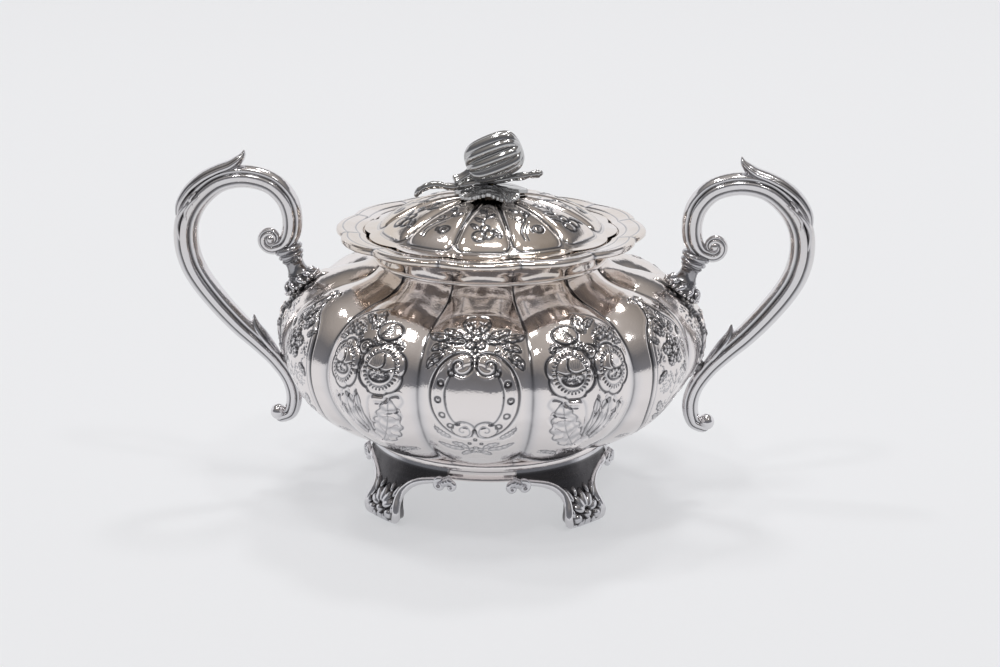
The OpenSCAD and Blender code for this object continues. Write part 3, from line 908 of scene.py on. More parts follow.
def chase_strapwork(r: Relief) -> None:
    """Leafy scrolls that run from the handle's socket down to its lower joint."""
    x, y = r.across, r.along
    half = 3.4 + 5.4 * np.exp(-(((y - 76) / 9) ** 2)) + 3.2 * np.exp(-(((y - 55) / 5) ** 2))
    plate = smooth_step((half - np.abs(x)) / 0.9) * smooth_step((y - 44) / 2) * smooth_step((94 - y) / 3)
    r.height += 0.8 * plate
    edge = np.exp(-(((np.abs(x) - half) / 0.5) ** 2)) * smooth_step((y - 45) / 2) * smooth_step((93 - y) / 3)
    r.height -= 0.25 * edge
    r.tarnish = np.maximum(r.tarnish, 0.9 * edge)
    r.leaf((0, 64), (0, 46), 5.4, 0, 0.7, 6, 0.35)
    r.leaf((0, 72), (0, 61), 4.4, 0, 0.8, 5, 0.35)
    for s in (-1, 1):
        r.spiral((6.4 * s, 70.6), 3.6, 90 + 90 * s, 1.4 * s, width=0.7, height=0.6, tarnish=0.0)
        r.spiral((5.2 * s, 55), 2.9, 90 - 90 * s, -1.3 * s, width=0.6, height=0.5, tarnish=0.0)
        r.boss((6.4 * s, 70.6), (1.1, 1.1), 0.6, outline=0.9)
        r.line([(2.8 * s, 70.5), (3.2 * s, 64), (2.6 * s, 59), (2.6 * s, 55)], width=0.7, height=0.5,
               tarnish=0.0)
        r.leaf((4 * s, 76), (9.8 * s, 80.6), 3.4, -0.8 * s, 0.6, 4, 0.35)
        r.leaf((5.6 * s, 73), (11.4 * s, 73.4), 3.0, 0.8 * s, 0.6, 4, 0.35)
        r.leaf((4 * s, 81), (8.6 * s, 87.4), 3.2, -0.6 * s, 0.6, 4, 0.35)
        r.leaf((2.2 * s, 66), (5.4 * s, 62.4), 2.2, 0.5 * s, 0.5, 3, 0.3)
        r.stipple((8.4 * s, 64), (4, 5), 80, 0.34, 0.18)
        r.stipple((12.4 * s, 74), (2.6, 6), 50, 0.32, 0.16)
        r.stipple((s * 9, 30.5), (3.2, 2), 50, 0.34, 0.2)
        r.leaf((0.8 * s, 43), (7 * s, 38), 3.0, 0.8 * s, 0.35, 5, 0.3)
        r.fern([(2 * s, 42), (5.4 * s, 34), (7, 29)] if s > 0 else [(-2, 42), (-5.4, 34), (-7, 29)], 4, 1.8,
               width=0.32, height=-0.18, tarnish=0.5)


CHASERS = {Motif.CARTOUCHE: chase_cartouche, Motif.ROSES: chase_roses, Motif.OGEE: chase_ogee,
           Motif.STRAP: chase_strapwork}
# Designs from the front round to the handle; the other three quarters mirror them
QUARTER = (Motif.CARTOUCHE, Motif.ROSES, Motif.OGEE, Motif.STRAP)


@dataclass
class BowlBody:
    """Raised body of the bowl: twelve chased lobes, each a closed piece of sheet, and the floor."""

    outline: tuple = ((38, 25), (47.5, 26.4), (58, 31), (69.5, 39.5), (77.2, 50), (80.2, 60), (79, 69),
                      (74.5, 77), (67, 83.2), (58.6, 86.4), (52, 87.9), (47.2, 89.5), (44.2, 91.6),
                      (42.9, 93.6), (42.6, 95.4), (43.1, 97.6))
    lobe_depth: float = 4.0
    wall: float = 1.0
    columns: int = 132
    chased: tuple = (24.0, 97.0, 0.33)

    def __post_init__(self) -> None:
        """Reads the outline and lays out the rows of the grid."""
        self.line = Outline(self.outline)
        low, high, step = self.chased
        end = self.line.s[-1]
        self.rows = np.concatenate([np.arange(0, low, 1.2), np.arange(low, high, step),
                                    np.linspace(high, end, 28)])
        self.u = np.linspace(-1, 1, self.columns + 1)

    def surface(self, s: np.ndarray, u: np.ndarray, inset: float) -> tuple[np.ndarray, np.ndarray]:
        """Places on one lobe.

        Args:
            s: distance along the outline of each row.
            u: place across the lobe of each column, from -1 to 1.
            inset: how far inside the outer surface.

        Returns:
            Radius and height of every grid point on the lobe's crest plane, and the rows' normals.
        """
        at, out, part = self.line.read(s)
        valley = np.sin(np.pi * np.minimum(part / 0.97, 1)) ** 0.6
        over = np.maximum(np.abs(u) - 0.91, 0)
        bow = u**2 - 1.82 / 0.18 * over**2
        drop = self.lobe_depth * valley[:, None] * bow[None] + inset
        return at[:, None] - out[:, None] * drop[..., None], out

    def lobe(self, motif: Motif, mirror: bool, azimuth: float, relief: Relief) -> Skin:
        """One lobe with its chasing, closed by the smooth inside of the bowl.

        Args:
            motif: the design, which sets the lobe's faint unevenness too.
            mirror: True where the design is turned left to right.
            azimuth: of the lobe's crest, in radians.
            relief: the chased design.

        Returns:
            The closed skin.
        """
        height, tarnish = relief.height, relief.tarnish
        if mirror:
            height, tarnish = height[:, ::-1], tarnish[:, ::-1]
        at, out = self.surface(self.rows, self.u, 0.0)
        turn = azimuth + self.u * HALF_LOBE
        phase = 3 * azimuth + len(motif.value)
        wave = 0.05 * (np.sin(self.rows[:, None] / 5.3 + phase + 2 * self.u) * np.cos(4.1 * self.u + phase)
                       + np.sin(self.rows[:, None] / 3.1 - phase) * np.sin(6.3 * self.u + phase))
        seam = 1 - smooth_step((np.abs(self.u) - 0.82) / 0.18)
        fade = smooth_step(self.rows / 4) * smooth_step((self.line.s[-1] - self.rows) / 8)
        lift = (height + wave) * seam[None] * fade[:, None]
        section = at + out[:, None] * lift[..., None]
        # Painted shade along the valleys between the lobes: a dark line in the upper rows, and lower down a
        # soft pale bluish band with a faint line.
        upper = smooth_step((self.rows - 66) / 14) * smooth_step((118 - self.rows) / 12)
        beside = 1 - np.abs(self.u)
        sharp, soft = np.exp(-((beside / 0.03) ** 2)), np.exp(-((beside / 0.13) ** 2))
        valley = (0.5 * upper[:, None] * sharp[None]
                  + (1 - upper)[:, None] * (0.13 * soft + 0.12 * sharp)[None])
        # Painted shade by height: the chasing's patina is scaled from 0.42 low on the body, where its lines
        # look pale against the reflected floor, to 0.70 up high.
        painted_shade_by_height = 0.42 + 0.28 * smooth_step((self.rows - 52) / 18)
        skin = Skin()
        outer = skin.sheet(turned(section[..., 0], section[..., 1], turn[None]),
                           np.maximum(painted_shade_by_height[:, None] * tarnish, valley))
        rough_rows = np.linspace(0, self.line.s[-1], 50)
        rough_u = np.linspace(-1, 1, 15)
        inner_at, _ = self.surface(rough_rows, rough_u, self.wall)
        inner = skin.sheet(turned(inner_at[..., 0], inner_at[..., 1], (azimuth + rough_u * HALF_LOBE)[None]),
                           0.0, inward=True)
        skin.close(outer, inner)
        return skin

    def floor(self) -> Skin:
        """Flat floor inside the foot ring."""
        r, z = self.outline[0]
        skin = Skin()
        skin.lathe([(0, z), (10, z), (24, z), (r, z), (r, z + self.wall), (24, z + self.wall),
                    (10, z + self.wall), (0, z + self.wall)], 132)
        return skin

    def make(self) -> None:
        """Chases the four designs and places the twelve lobes and the floor."""
        radius = self.line.read(self.rows)[0][:, 0]
        across = self.u[None] * HALF_LOBE * radius[:, None]
        along = np.broadcast_to(self.rows[:, None], across.shape)
        reliefs = {}
        for motif, chase in CHASERS.items():
            reliefs[motif] = Relief(across, along)
            chase(reliefs[motif])
        for k in range(LOBES):
            quarter, step = divmod(k, 3)
            motif = QUARTER[step if quarter % 2 == 0 else 3 - step]
            mirror = quarter % 2 == 0
            skin = self.lobe(motif, mirror, k * 2 * HALF_LOBE, reliefs[motif])
            place(f"bowl_lobe_{30 * k:03d}_{motif.value}", skin.mesh(f"lobe_{k}", weld=False, crease=75),
                  POLISHED, Body.BOWL, Slot.RAISED, ("bowl",))
        place("bowl_floor", self.floor().mesh("bowl_floor"), LINING, Body.BOWL, Slot.RAISED, ("bowl",))


# ---- Node recipes ------------------------------------------------------------------------------


class Recipe:
    """A geometry tree with named inputs, run once on a seed mesh and kept as a plain mesh."""

    def __init__(self, name: str, finish: Finish) -> None:
        """Starts an empty tree.

        Args:
            name: the tree's name.
            finish: what its result is made of.
        """
        self.tree = bpy.data.node_groups.new(name, "GeometryNodeTree")
        self.tree.interface.new_socket("Geometry", in_out="INPUT", socket_type="NodeSocketGeometry")
        self.tree.interface.new_socket("Geometry", in_out="OUTPUT", socket_type="NodeSocketGeometry")
        self.source = self.tree.nodes.new("NodeGroupInput")
        self.wiring = Wiring(self.tree)
        self.finish = finish
        self.values = {}

    @property
    def seed(self) -> bpy.types.NodeSocket:
        """Socket of the seed mesh."""
        return self.source.outputs["Geometry"]

    def size(self, name: str, value: float, kind: str = "NodeSocketFloat") -> bpy.types.NodeSocket:
        """Adds a named input.

        Args:
            name: the input's name.
            value: its value.
            kind: its socket type.

        Returns:
            The socket to join to nodes.
        """
        socket = self.tree.interface.new_socket(name, in_out="INPUT", socket_type=kind)
        self.values[socket.identifier] = value
        return self.source.outputs[name]

    def make(self, name: str, geometry: bpy.types.NodeSocket, seed: bpy.types.Mesh,
             crease: float = 40) -> bpy.types.Mesh:
        """Ends the tree and runs it.

        Args:
            name: name of the result.
            geometry: what the tree made.
            seed: mesh that it starts from.
            crease: angle past which an edge stays sharp.

        Returns:
            The result as a plain mesh.
        """
        w = self.wiring
        stuff = self.size("Finish", self.finish.material(), "NodeSocketMaterial")
        real = w.add("GeometryNodeRealizeInstances", geometry).outputs[0]
        dressed = w.add("GeometryNodeSetMaterial", real, None, stuff).outputs[0]
        w.add("NodeGroupOutput", dressed)
        holder = bpy.data.objects.new(name, seed)
        bpy.context.scene.collection.objects.link(holder)
        modifier = holder.modifiers.new(name, "NODES")
        modifier.node_group = self.tree
        for identifier, value in self.values.items():
            modifier[identifier] = value
        graph = bpy.context.evaluated_depsgraph_get()
        made = bpy.data.meshes.new_from_object(holder.evaluated_get(graph))
        holder.modifiers.clear()
        bpy.data.objects.remove(holder)
        weld_mesh(made, RECIPE_WELD_GAP_M)
        finish_shading(made, crease)
        made.name = name
        return made


def section_seed(profile: object, radius: float) -> bpy.types.Mesh:
    """Closed line of a ring's section, as radius and height, measured from the ring's circle."""
    points = [((r - radius) * MM, -z * MM, 0) for r, z in profile]
    seed = bpy.data.meshes.new("section")
    seed.from_pydata(points, [(k, (k + 1) % len(points)) for k in range(len(points))], [])
    return seed


def ring_mesh(name: str, profile: object, finish: MetalFinish, segments: int = 288,
              crease: float = 40) -> bpy.types.Mesh:
    """Ring whose section follows a circle round the bowl.

    Args:
        name: name of the result.
        profile: rows of radius and height.
        finish: what it is made of.
        segments: points round the circle.
        crease: angle past which an edge stays sharp.

    Returns:
        The ring's mesh.
    """
    radius = float(np.mean([row[0] for row in profile]))
    recipe = Recipe(name + "_recipe", finish)
    w = recipe.wiring
    circle = w.add("GeometryNodeCurvePrimitiveCircle", recipe.size("Segments", segments, "NodeSocketInt"),
                   Radius=recipe.size("Radius", radius * MM)).outputs[0]
    section = w.add("GeometryNodeMeshToCurve", recipe.seed).outputs[0]
    swept = w.add("GeometryNodeCurveToMesh", circle, Profile_Curve=section).outputs[0]
    return recipe.make(name, swept, section_seed(profile, radius), crease)


def pearl_mesh(name: str, spots: np.ndarray, radius: float, finish: MetalFinish) -> bpy.types.Mesh:
    """Small pearls at spots.

    Args:
        name: name of the result.
        spots: middles of the pearls.
        radius: of a pearl.
        finish: what they are made of.

    Returns:
        One mesh of all the pearls.
    """
    recipe = Recipe(name + "_recipe", finish)
    w = recipe.wiring
    pearl = w.add("GeometryNodeMeshIcoSphere", recipe.size("Pearl radius", radius * MM), 2).outputs[0]
    placed = w.add("GeometryNodeInstanceOnPoints", recipe.seed, Instance=pearl).outputs[0]
    seed = bpy.data.meshes.new(name + "_spots")
    seed.from_pydata([tuple(p) for p in np.asarray(spots) * MM], [], [])
    return recipe.make(name, placed, seed, 80)


# ---- Rim, neck wire, ring and feet -------------------------------------------------------------


def spaced(profile: object, step: float) -> np.ndarray:
    """Points at most a step apart along a closed line, its corners kept."""
    line = np.asarray(profile, float)
    out = []
    for a, b in zip(line, np.roll(line, -1, axis=0)):
        count = max(int(np.ceil(np.linalg.norm(b - a) / step)), 1)
        out.append(a + (b - a) * (np.arange(count) / count)[:, None])
    return np.vstack(out)


@dataclass
class RimBorder:
    """Scalloped rim with two incised lines along its lip, and a ledge that the lid rests on."""

    section: tuple = ((43.1, 97.3), (43.7, 98.6), (44.9, 99.3), (46.6, 99.8), (49, 100.2), (53, 101.4),
                      (56.4, 101.3), (57.4, 101.5), (57.9, 102), (58, 102.6), (57.8, 103.3), (57.2, 103.8),
                      (56.2, 104), (54.6, 103.9), (52, 103.6), (49.8, 103.2), (48.3, 102.9), (47.8, 102.6),
                      (47.7, 102.2), (47.7, 100.9), (44, 100.9), (42.6, 100.4), (42.1, 99), (42.1, 97.3))
    notch: float = 2.1
    neck_from: float = 44.0
    lip: float = 58.0
    lines: tuple = (55.4, 50.6)
    columns: int = 600

    def make(self) -> None:
        """Sweeps the section round the scallops and cuts the two lines."""
        line = spaced(self.section, 0.38)
        azimuth = np.linspace(0, 2 * math.pi, self.columns, endpoint=False)
        u = (azimuth / HALF_LOBE + 1) % 2 - 1
        part = np.clip((line[:, 0] - self.neck_from) / (self.lip - self.neck_from), 0, 1)
        radius = line[:, :1] - self.notch * part[:, None] ** 0.5 * u[None] ** 2
        top = (line[:, 1] > 102.8) & (line[:, 0] > 48)
        cut = sum(np.exp(-(((line[:, 0] - r) / 0.3) ** 2)) for r in self.lines) * top
        height = (line[:, 1] - 0.16 * cut)[:, None] + 0 * u[None]
        dark = np.maximum(0.3 * cut[:, None],
                          0.3 * np.exp(-(((1 - np.abs(u)) / 0.05) ** 2))[None] * (part > 0.5)[:, None])
        skin = Skin()
        grid = turned(radius, height, azimuth[None])
        skin.sheet(np.concatenate([grid, grid[:1]]), np.concatenate([dark, dark[:1]]), wrap=True)
        place("rim_border", skin.mesh("rim_border", crease=50), POLISHED, Body.BOWL, Slot.RAISED,
              ("rim_border",))


@dataclass
class TurnedRings:
    """Wire at the neck seam and the moulded ring under the bowl."""

    wire_at: tuple = (43.3, 92.9)
    wire_r: float = 0.75
    foot_section: tuple = ((41.6, 18.2), (43.5, 18.2), (44, 18.4), (44.2, 18.9), (44, 19.4), (43.4, 19.7),
                           (43, 20.3), (43.3, 20.9), (44.2, 21.1), (44.4, 21.6), (44.7, 22), (45.1, 22.5),
                           (45, 22.8), (45.2, 23.2), (45.6, 23.9), (45.6, 24.6), (45.4, 25.2), (44.9, 25.8),
                           (44.3, 26), (42.6, 25.8), (42.2, 24), (41.6, 22))

    def make(self) -> None:
        """Sweeps both rings."""
        turn = np.linspace(0, 2 * math.pi, 20, endpoint=False)
        wire = [(self.wire_at[0] + self.wire_r * math.cos(a),
                 self.wire_at[1] + self.wire_r * math.sin(a)) for a in turn]
        place("neck_wire", ring_mesh("neck_wire", wire, POLISHED, crease=80), POLISHED, Body.BOWL,
              Slot.RAISED, ("neck_wire",))
        place("foot_ring", ring_mesh("foot_ring", self.foot_section, POLISHED, 360, 32), POLISHED, Body.BOWL,
              Slot.RAISED, ("foot_ring",))


@dataclass
class Feet:
    """Four cast feet: a bracket on the ring, a leg and a toe with a shell between scrolls."""

    # Height, half the angle covered, outer radius, thickness
    form: tuple = ((0, 4, 52, 3.8), (0.7, 6, 53, 4.4), (2, 8, 54, 4.8), (4.4, 8.8, 54.3, 4.6),
                   (7, 8.3, 53.6, 4), (9.5, 7.8, 52.2, 3.4), (12, 8.2, 50.6, 2.9), (14, 9.8, 49.4, 2.6),
                   (16, 12.6, 48.5, 2.5), (17.6, 17, 47.9, 2.3), (18.6, 22.4, 47.4, 2.2),
                   (19.1, 27, 47.1, 2.1), (19.5, 28.8, 46.9, 2), (21.2, 29, 46, 1.7), (23.6, 29, 45.1, 1.1))
    places: tuple = (("front_left", -45), ("front_right", 45), ("back_right", 135), ("back_left", -135))

    def chased(self, across: np.ndarray, along: np.ndarray) -> Relief:
        """Shell, scrolls and leaf on the toe, over a painted dark reflection on its plain ground.

        Args:
            across: place across the foot.
            along: height.

        Returns:
            The relief.
        """
        r = Relief(across, along)
        # Painted dark reflection over the plain ground of the foot, weaker low on the toe and gone at its top
        # edge; the flutes clear it.
        r.tarnish = ((0.62 - 0.3 * smooth_step((11 - along) / 4)) * smooth_step((22.8 - along) / 1.6)
                     * np.ones(across.shape))
        for k in range(-2, 3):
            a = math.radians(90 - 34 * k)
            reach = 4.1 - 0.12 * k * k
            middle = (reach * math.cos(a), 6.2 + reach * math.sin(a))
            self.flute(r, middle, (1.62, 3.1 - 0.2 * abs(k)), -34 * k)
        self.flute(r, (0, 5.2), (1.9, 1.6), 0)
        self.flute(r, (0, 1.9), (1.7, 2.6), 0)
        for s in (-1, 1):
            self.flute(r, (2.9 * s, 1.6), (1.3, 2.4), 26 * s)
            self.flute(r, (4.6 * s, 3.9), (2.0, 1.9), 0)
            self.flute(r, (6.7 * s, 6.8), (1.0, 2.4), -8 * s)
            self.flute(r, (5.6 * s, 12.2), (1.2, 2.6), -22 * s)
            self.flute(r, (2.9 * s, 13.0), (0.9, 1.7), 12 * s)
        return r

    @staticmethod
    def flute(relief: Relief, centre: tuple, radii: tuple, turn: float) -> None:
        """Raises one rounded flute, kept bright by clearing the painted dark reflection of the ground from
        it.

        Args:
            relief: what it is raised on.
            centre: its middle.
            radii: its half-width and half-length.
            turn: how far it is turned, in degrees.
        """
        found = relief.inside(centre, radii, turn, 1.5)
        if found is None:
            return
        at, q, _ = found
        round_top = np.sqrt(np.clip(1 - q**2, 0, 1))
        relief.height[at] = np.maximum(relief.height[at], 1.25 * round_top)
        relief.tarnish[at] *= 1 - smooth_step((1.0 - q) / 0.5)
        relief.darken(at, 0.9 * np.exp(-(((q - 1.12) / 0.12) ** 2)) * (relief.height[at] < 0.2))

    def casting(self) -> Skin:
        """The foot that faces the front."""
        form = smooth_curve(self.form, 16)
        heights = np.linspace(0, 23.6, 118)
        spread, radius, thick = (np.interp(heights, form[:, 0], form[:, k]) for k in (1, 2, 3))
        u = np.linspace(-1, 1, 91)
        angle = np.radians(spread)[:, None] * u[None]
        relief = self.chased(angle * radius[:, None], np.broadcast_to(heights[:, None], angle.shape))
        fade = smooth_step((1 - np.abs(u)) / 0.06)[None] * smooth_step(heights / 0.8)[:, None]
        skin = Skin()
        outer = skin.sheet(turned(radius[:, None] + relief.height * fade, heights[:, None], angle),
                           np.maximum(relief.tarnish, 0.12))
        rows, cols = heights[::6], u[::9]
        rows[-1] = heights[-1]
        back_angle = np.radians(np.interp(rows, heights, spread))[:, None] * cols[None]
        back_r = np.interp(rows, heights, radius - thick)[:, None] + 0 * cols[None]
        inner = skin.sheet(turned(back_r, rows[:, None], back_angle), 0.3, inward=True)
        skin.close(outer, inner)
        for s in (-1, 1):
            self.moulding(skin, s, form)
        return skin

    def moulding(self, skin: Skin, side: int, form: np.ndarray) -> None:
        """Adds the raised edge of one side and the scrolls at the tip of its bracket.

        Args:
            skin: what it is added to.
            side: -1 or 1.
            form: rows of the foot's form.
        """
        heights = np.concatenate([np.full(8, 0.95), np.linspace(1.1, 16, 32), np.linspace(16.3, 19.3, 26)])
        angle = side * np.radians(np.interp(heights, form[:, 0], form[:, 1]))
        angle[:8] *= np.linspace(0.1, 0.95, 8)
        radius = np.interp(heights, form[:, 0], form[:, 2]) - 0.3
        path = turned(radius, heights, angle)
        thick = np.interp(heights, [0.95, 2.5, 13, 19.3], [0.85, 1.6, 1.55, 1.25])
        skin.rod(path, thick, 14, side=(0, -1, 0), tarnish=0.05)
        tip = 47.6
        t = np.linspace(0, 1, 22)
        for centre, height, size, start, turns, girth in ((26.4, 17.6, 2.2, 95, 0.85, 1.2),
                                                          (31.4, 17.3, 1.7, 110, -0.8, 1.1)):
            turn = math.radians(start) + side * turns * 2 * math.pi * t
            reach = size * (1 - 0.7 * t)
            a = side * math.radians(centre) + reach * np.cos(turn) / tip
            skin.rod(turned(tip + 0.2 + 0.5 * t, height + reach * np.sin(turn), a), girth * (1 - 0.35 * t),
                     12, side=(0, -1, 0), tarnish=0.1)
            first = skin.count
            ball = [(math.sin(b), -math.cos(b)) for b in np.linspace(0, math.pi, 12)]
            skin.lathe(ball, 20)
            mid = turned(np.array(tip - 0.2), np.array(height), np.array(side * math.radians(centre)))
            skin.shape(first, lambda p, m=mid: p + m)
        for k, lean in enumerate((-0.5, 0.1, 0.7)):
            a = side * (math.radians(28.6) + 0.016 * k)
            drop = 3.6 * t - 0.4 * k
            path = turned(tip - 0.4 + 0.9 * np.sin(math.pi * t), 20.2 - drop, a + side * lean * 0.05 * t**2)
            skin.rod(path, 0.3 + 0.95 * np.sin(math.pi * np.clip(t, 0.05, 0.97)) ** 0.8, 12, side=(0, -1, 0),
                     tarnish=0.15)

    def make(self) -> None:
        """Casts the foot four times, turned to its places."""
        casting = self.casting()
        for name, azimuth in self.places:
            a = math.radians(azimuth)
            spin = np.array([[math.cos(a), math.sin(a), 0], [-math.sin(a), math.cos(a), 0], [0, 0, 1]])
            turned_foot = Skin([block @ spin for block in casting.points], casting.tarnish, casting.quads,
                               casting.tris, casting.count)
            place(f"foot_{name}_cast", turned_foot.mesh(f"foot_{name}", crease=55), CAST, Body.BOWL,
                  Slot.CAST, (f"foot_{name}",))


# ---- Handles -----------------------------------------------------------------------------------


def leaning(points: np.ndarray, lean: float, spot: tuple) -> np.ndarray:
    """Points tipped towards +X by an angle in degrees, then moved to a spot."""
    c, s = math.cos(math.radians(lean)), math.sin(math.radians(lean))
    x, z = points[..., 0] * c + points[..., 2] * s, points[..., 2] * c - points[..., 0] * s
    return np.stack([x, points[..., 1], z], axis=-1) + spot


def upright(line: np.ndarray) -> np.ndarray:
    """Points of a plane line, as x and height, in the plane of the handles."""
    return np.column_stack([line[:, 0], np.zeros(len(line)), line[:, 1]])


@dataclass
class Handles:
    """Two scrolled handles with their sockets, collars and lower pads."""

    line: tuple = ((82.4, 93.6), (78.2, 95.3), (75.4, 100), (75, 107), (77.3, 113.7), (83.1, 119.1),
                   (92.6, 121.3), (102.4, 119.2), (110.4, 112.6), (114.9, 104.5), (115.8, 96), (114.2, 88),
                   (110.6, 80.8), (104.3, 72.2), (96.6, 63.5), (88.8, 56), (82.6, 49.2), (78, 42), (76.3, 35),
                   (77.8, 28.6), (81.4, 26.6))
    taper: tuple = (0.5, 0.64, 0.78, 0.83, 0.88, 0.9, 0.91, 0.91, 0.94, 0.98, 1, 1, 0.98, 0.94, 0.88, 0.79,
                    0.69, 0.65, 0.66, 0.6, 0.56)
    rod_r: float = 4.7
    volute_at: tuple = (83.2, 97.4)
    curl_at: tuple = (82.7, 28.2)
    # Leaf that caps the handle, and the bud low on its inner side: x, height, thickness
    leaf: tuple = ((118.2, 103, 0.8), (117.4, 109.6, 1.9), (113.6, 115.8, 2.3), (108.2, 120.4, 2.4),
                   (102.7, 123.3, 2.3), (97.7, 125.3, 2.2), (94.6, 127.4, 1.9), (92.9, 129.3, 1.2),
                   (92.3, 131, 0.4))
    # Ridges of the small calyx on each broad face: x, height, distance from the middle plane
    calyx: tuple = ((((117.6, 97, 3.4), (118.2, 103, 3.7), (116.2, 108, 4.1), (112.6, 111.6, 4.4),
                      (109.4, 113.2, 4.0)), 0.8),
                    (((114.4, 104.6, 4.3), (114.6, 108, 4.5), (112.4, 111.6, 4.6), (109, 114.4, 4.3)), 0.7),
                    (((111.8, 110.8, 4.4), (112.6, 113.2, 4.2), (110.4, 115.6, 3.9)), 0.8),
                    (((108.6, 115.4, 3.8), (104, 119, 3.4), (99, 121.8, 2.9), (95, 125.2, 1.6)), 0.6))
    bud: tuple = ((79.6, 47.4, 1.0), (83.6, 53, 1.9), (87.6, 58.6, 2.3), (90.2, 63, 1.7), (90.9, 67, 0.4))
    bud_leaf: tuple = ((92.4, 57.4, 0.5), (95.6, 62, 1.3), (99.6, 67.4, 1.1), (103.8, 73.6, 0.3))
    # Middle of the socket's foot, and how far its foot, its leaves and its stem lean out, in degrees
    socket_at: tuple = (71.6, 0, 80.4)
    foot_lean: float = 37.0
    leaf_lean: float = 35.0
    stem_lean: float = 21.0
    # Middle of the lower pad, and how far it is tipped over
    pad_at: tuple = (77.8, 0, 51)
    pad_lean: float = 107.0
    pearl_count: int = 26
    pearl_r: float = 0.72

    def rod(self) -> Skin:
        """The right handle: reeded rod, volute, leaves, bud and the ball at its lower end."""
        skin = Skin()
        rows = smooth_curve([(*p, t * self.rod_r) for p, t in zip(self.line, self.taper)], 11)
        t = np.linspace(1, 0, 34)
        join = np.array(self.line[0]) - self.volute_at
        start, reach = math.atan2(join[1], join[0]), np.hypot(*join)
        size = reach * (1 - 0.74 * t)
        turn = start + t * math.radians(330)
        scroll = np.column_stack([self.volute_at[0] + size * np.cos(turn),
                                  self.volute_at[1] + size * np.sin(turn), rows[0, 2] * (1 - 0.22 * t)])
        whole = np.vstack([scroll[:-1], rows])
        skin.rod(upright(whole), whole[:, 2], 96, reeds=0.19, tarnish=0.04)
        self.ball(skin, self.volute_at, 2.1, 1.25)
        self.ball(skin, self.curl_at, 3.1, 1.05)
        self.ball(skin, (80.2, 25.6), 1.5, 1.0)
        for leaf, flat in ((self.leaf, 1.7), (self.bud, 1.25), (self.bud_leaf, 1.4)):
            line = smooth_curve(leaf, 10)
            skin.rod(upright(line), line[:, 2], 40, flat, reeds=0.1, tarnish=0.1)
        for side in (-1, 1):
            for ridge, girth in self.calyx:
                line = smooth_curve(ridge, 8)
                t = np.linspace(0, 1, len(line))
                path = np.column_stack([line[:, 0], side * line[:, 2], line[:, 1]])
                skin.rod(path, girth * (0.25 + 0.75 * np.sin(math.pi * t) ** 0.7), 12, side=(0, 1, 0),
                         tarnish=0.1)
        return skin

    @staticmethod
    def ball(skin: Skin, at: tuple, radius: float, broad: float) -> None:
        """Adds a ball, broader across the handle.

        Args:
            skin: what it is added to.
            at: x and height of its middle.
            radius: of the ball.
            broad: its size across, as a part of its radius.
        """
        first = skin.count
        skin.lathe([(math.sin(a) * radius, -math.cos(a) * radius) for a in np.linspace(0, math.pi, 24)], 40)
        skin.shape(first, lambda p: p * (1, broad, 1) + (at[0], 0, at[1]))

    def socket(self) -> Skin:
        """The right socket: leafy foot on the shoulder and a waisted, fluted stem."""
        skin = Skin()
        skin.lathe([(0, -0.7), (7.2, -0.7), (7.7, -0.2), (7.7, 0.5), (7, 1.3), (6, 2), (5.2, 2.8), (4, 3.3),
                    (0, 3.5)], 120,
                   (10, 0.1), 0.35)
        skin.shape(0, lambda p: leaning(p, self.foot_lean, self.socket_at))
        first = skin.count
        skin.lathe([(0, 0.6), (5.4, 0.6), (5.3, 1.6), (4.7, 3.2), (4.2, 3.8), (4.5, 4.3), (4.1, 4.8),
                    (3.6, 6.2), (3.4, 7.6), (3.5, 8.8), (4.1, 9.5), (4.4, 10), (4.1, 10.5), (4.1, 10.8),
                    (0, 10.8)], 96, (6, 0.05), 0.26)
        skin.shape(first, lambda p: leaning(p, self.stem_lean, self.socket_at))
        for k in range(10):
            turn = math.radians(36 * k)
            t = np.linspace(0, 1, 14)
            reach, rise = 7.3 - 2.6 * t, 0.8 + 2.6 * t**0.8
            path = np.column_stack([reach * np.cos(turn + 0.25 * t), reach * np.sin(turn + 0.25 * t), rise])
            skin.rod(leaning(path, self.leaf_lean, self.socket_at),
                     1.05 * np.sin(math.pi * (0.12 + 0.8 * t)) + 0.1, 12,
                     side=(math.sin(turn), -math.cos(turn), 0), tarnish=0.14)
        return skin

    def collar(self) -> Skin:
        """The right collar: a thin bead and a thick one."""
        skin = Skin()
        skin.lathe([(0, 10.8), (4.2, 10.8), (4.8, 11.2), (5, 11.8), (4.7, 12.4), (4.3, 12.7), (4.5, 13),
                    (5.2, 13.3), (5.5, 14), (5.3, 14.7), (4.7, 15.1), (0, 15.2)], 72, (0, 0.0), 0.2)
        skin.shape(0, lambda p: leaning(p, self.stem_lean, self.socket_at))
        return skin

    def pad(self) -> Skin:
        """The right lower pad."""
        skin = Skin()
        skin.lathe([(0, -0.5), (2.4, -0.5), (2.6, -0.2), (2.6, 0.8), (2.3, 1.2), (2.2, 1.7), (2.5, 2.1),
                    (2.3, 2.4), (0, 2.4)], 48,
                   (0, 0.0), 0.3)
        skin.shape(0, lambda p: leaning(p, self.pad_lean, self.pad_at))
        return skin

    def pearls(self) -> np.ndarray:
        """Middles of the pearls round the right socket's foot."""
        turn = np.linspace(0, 2 * math.pi, self.pearl_count, endpoint=False)
        ring = np.column_stack([7.5 * np.cos(turn), 7.5 * np.sin(turn), np.full(self.pearl_count, 0.5)])
        return leaning(ring, self.foot_lean, self.socket_at)

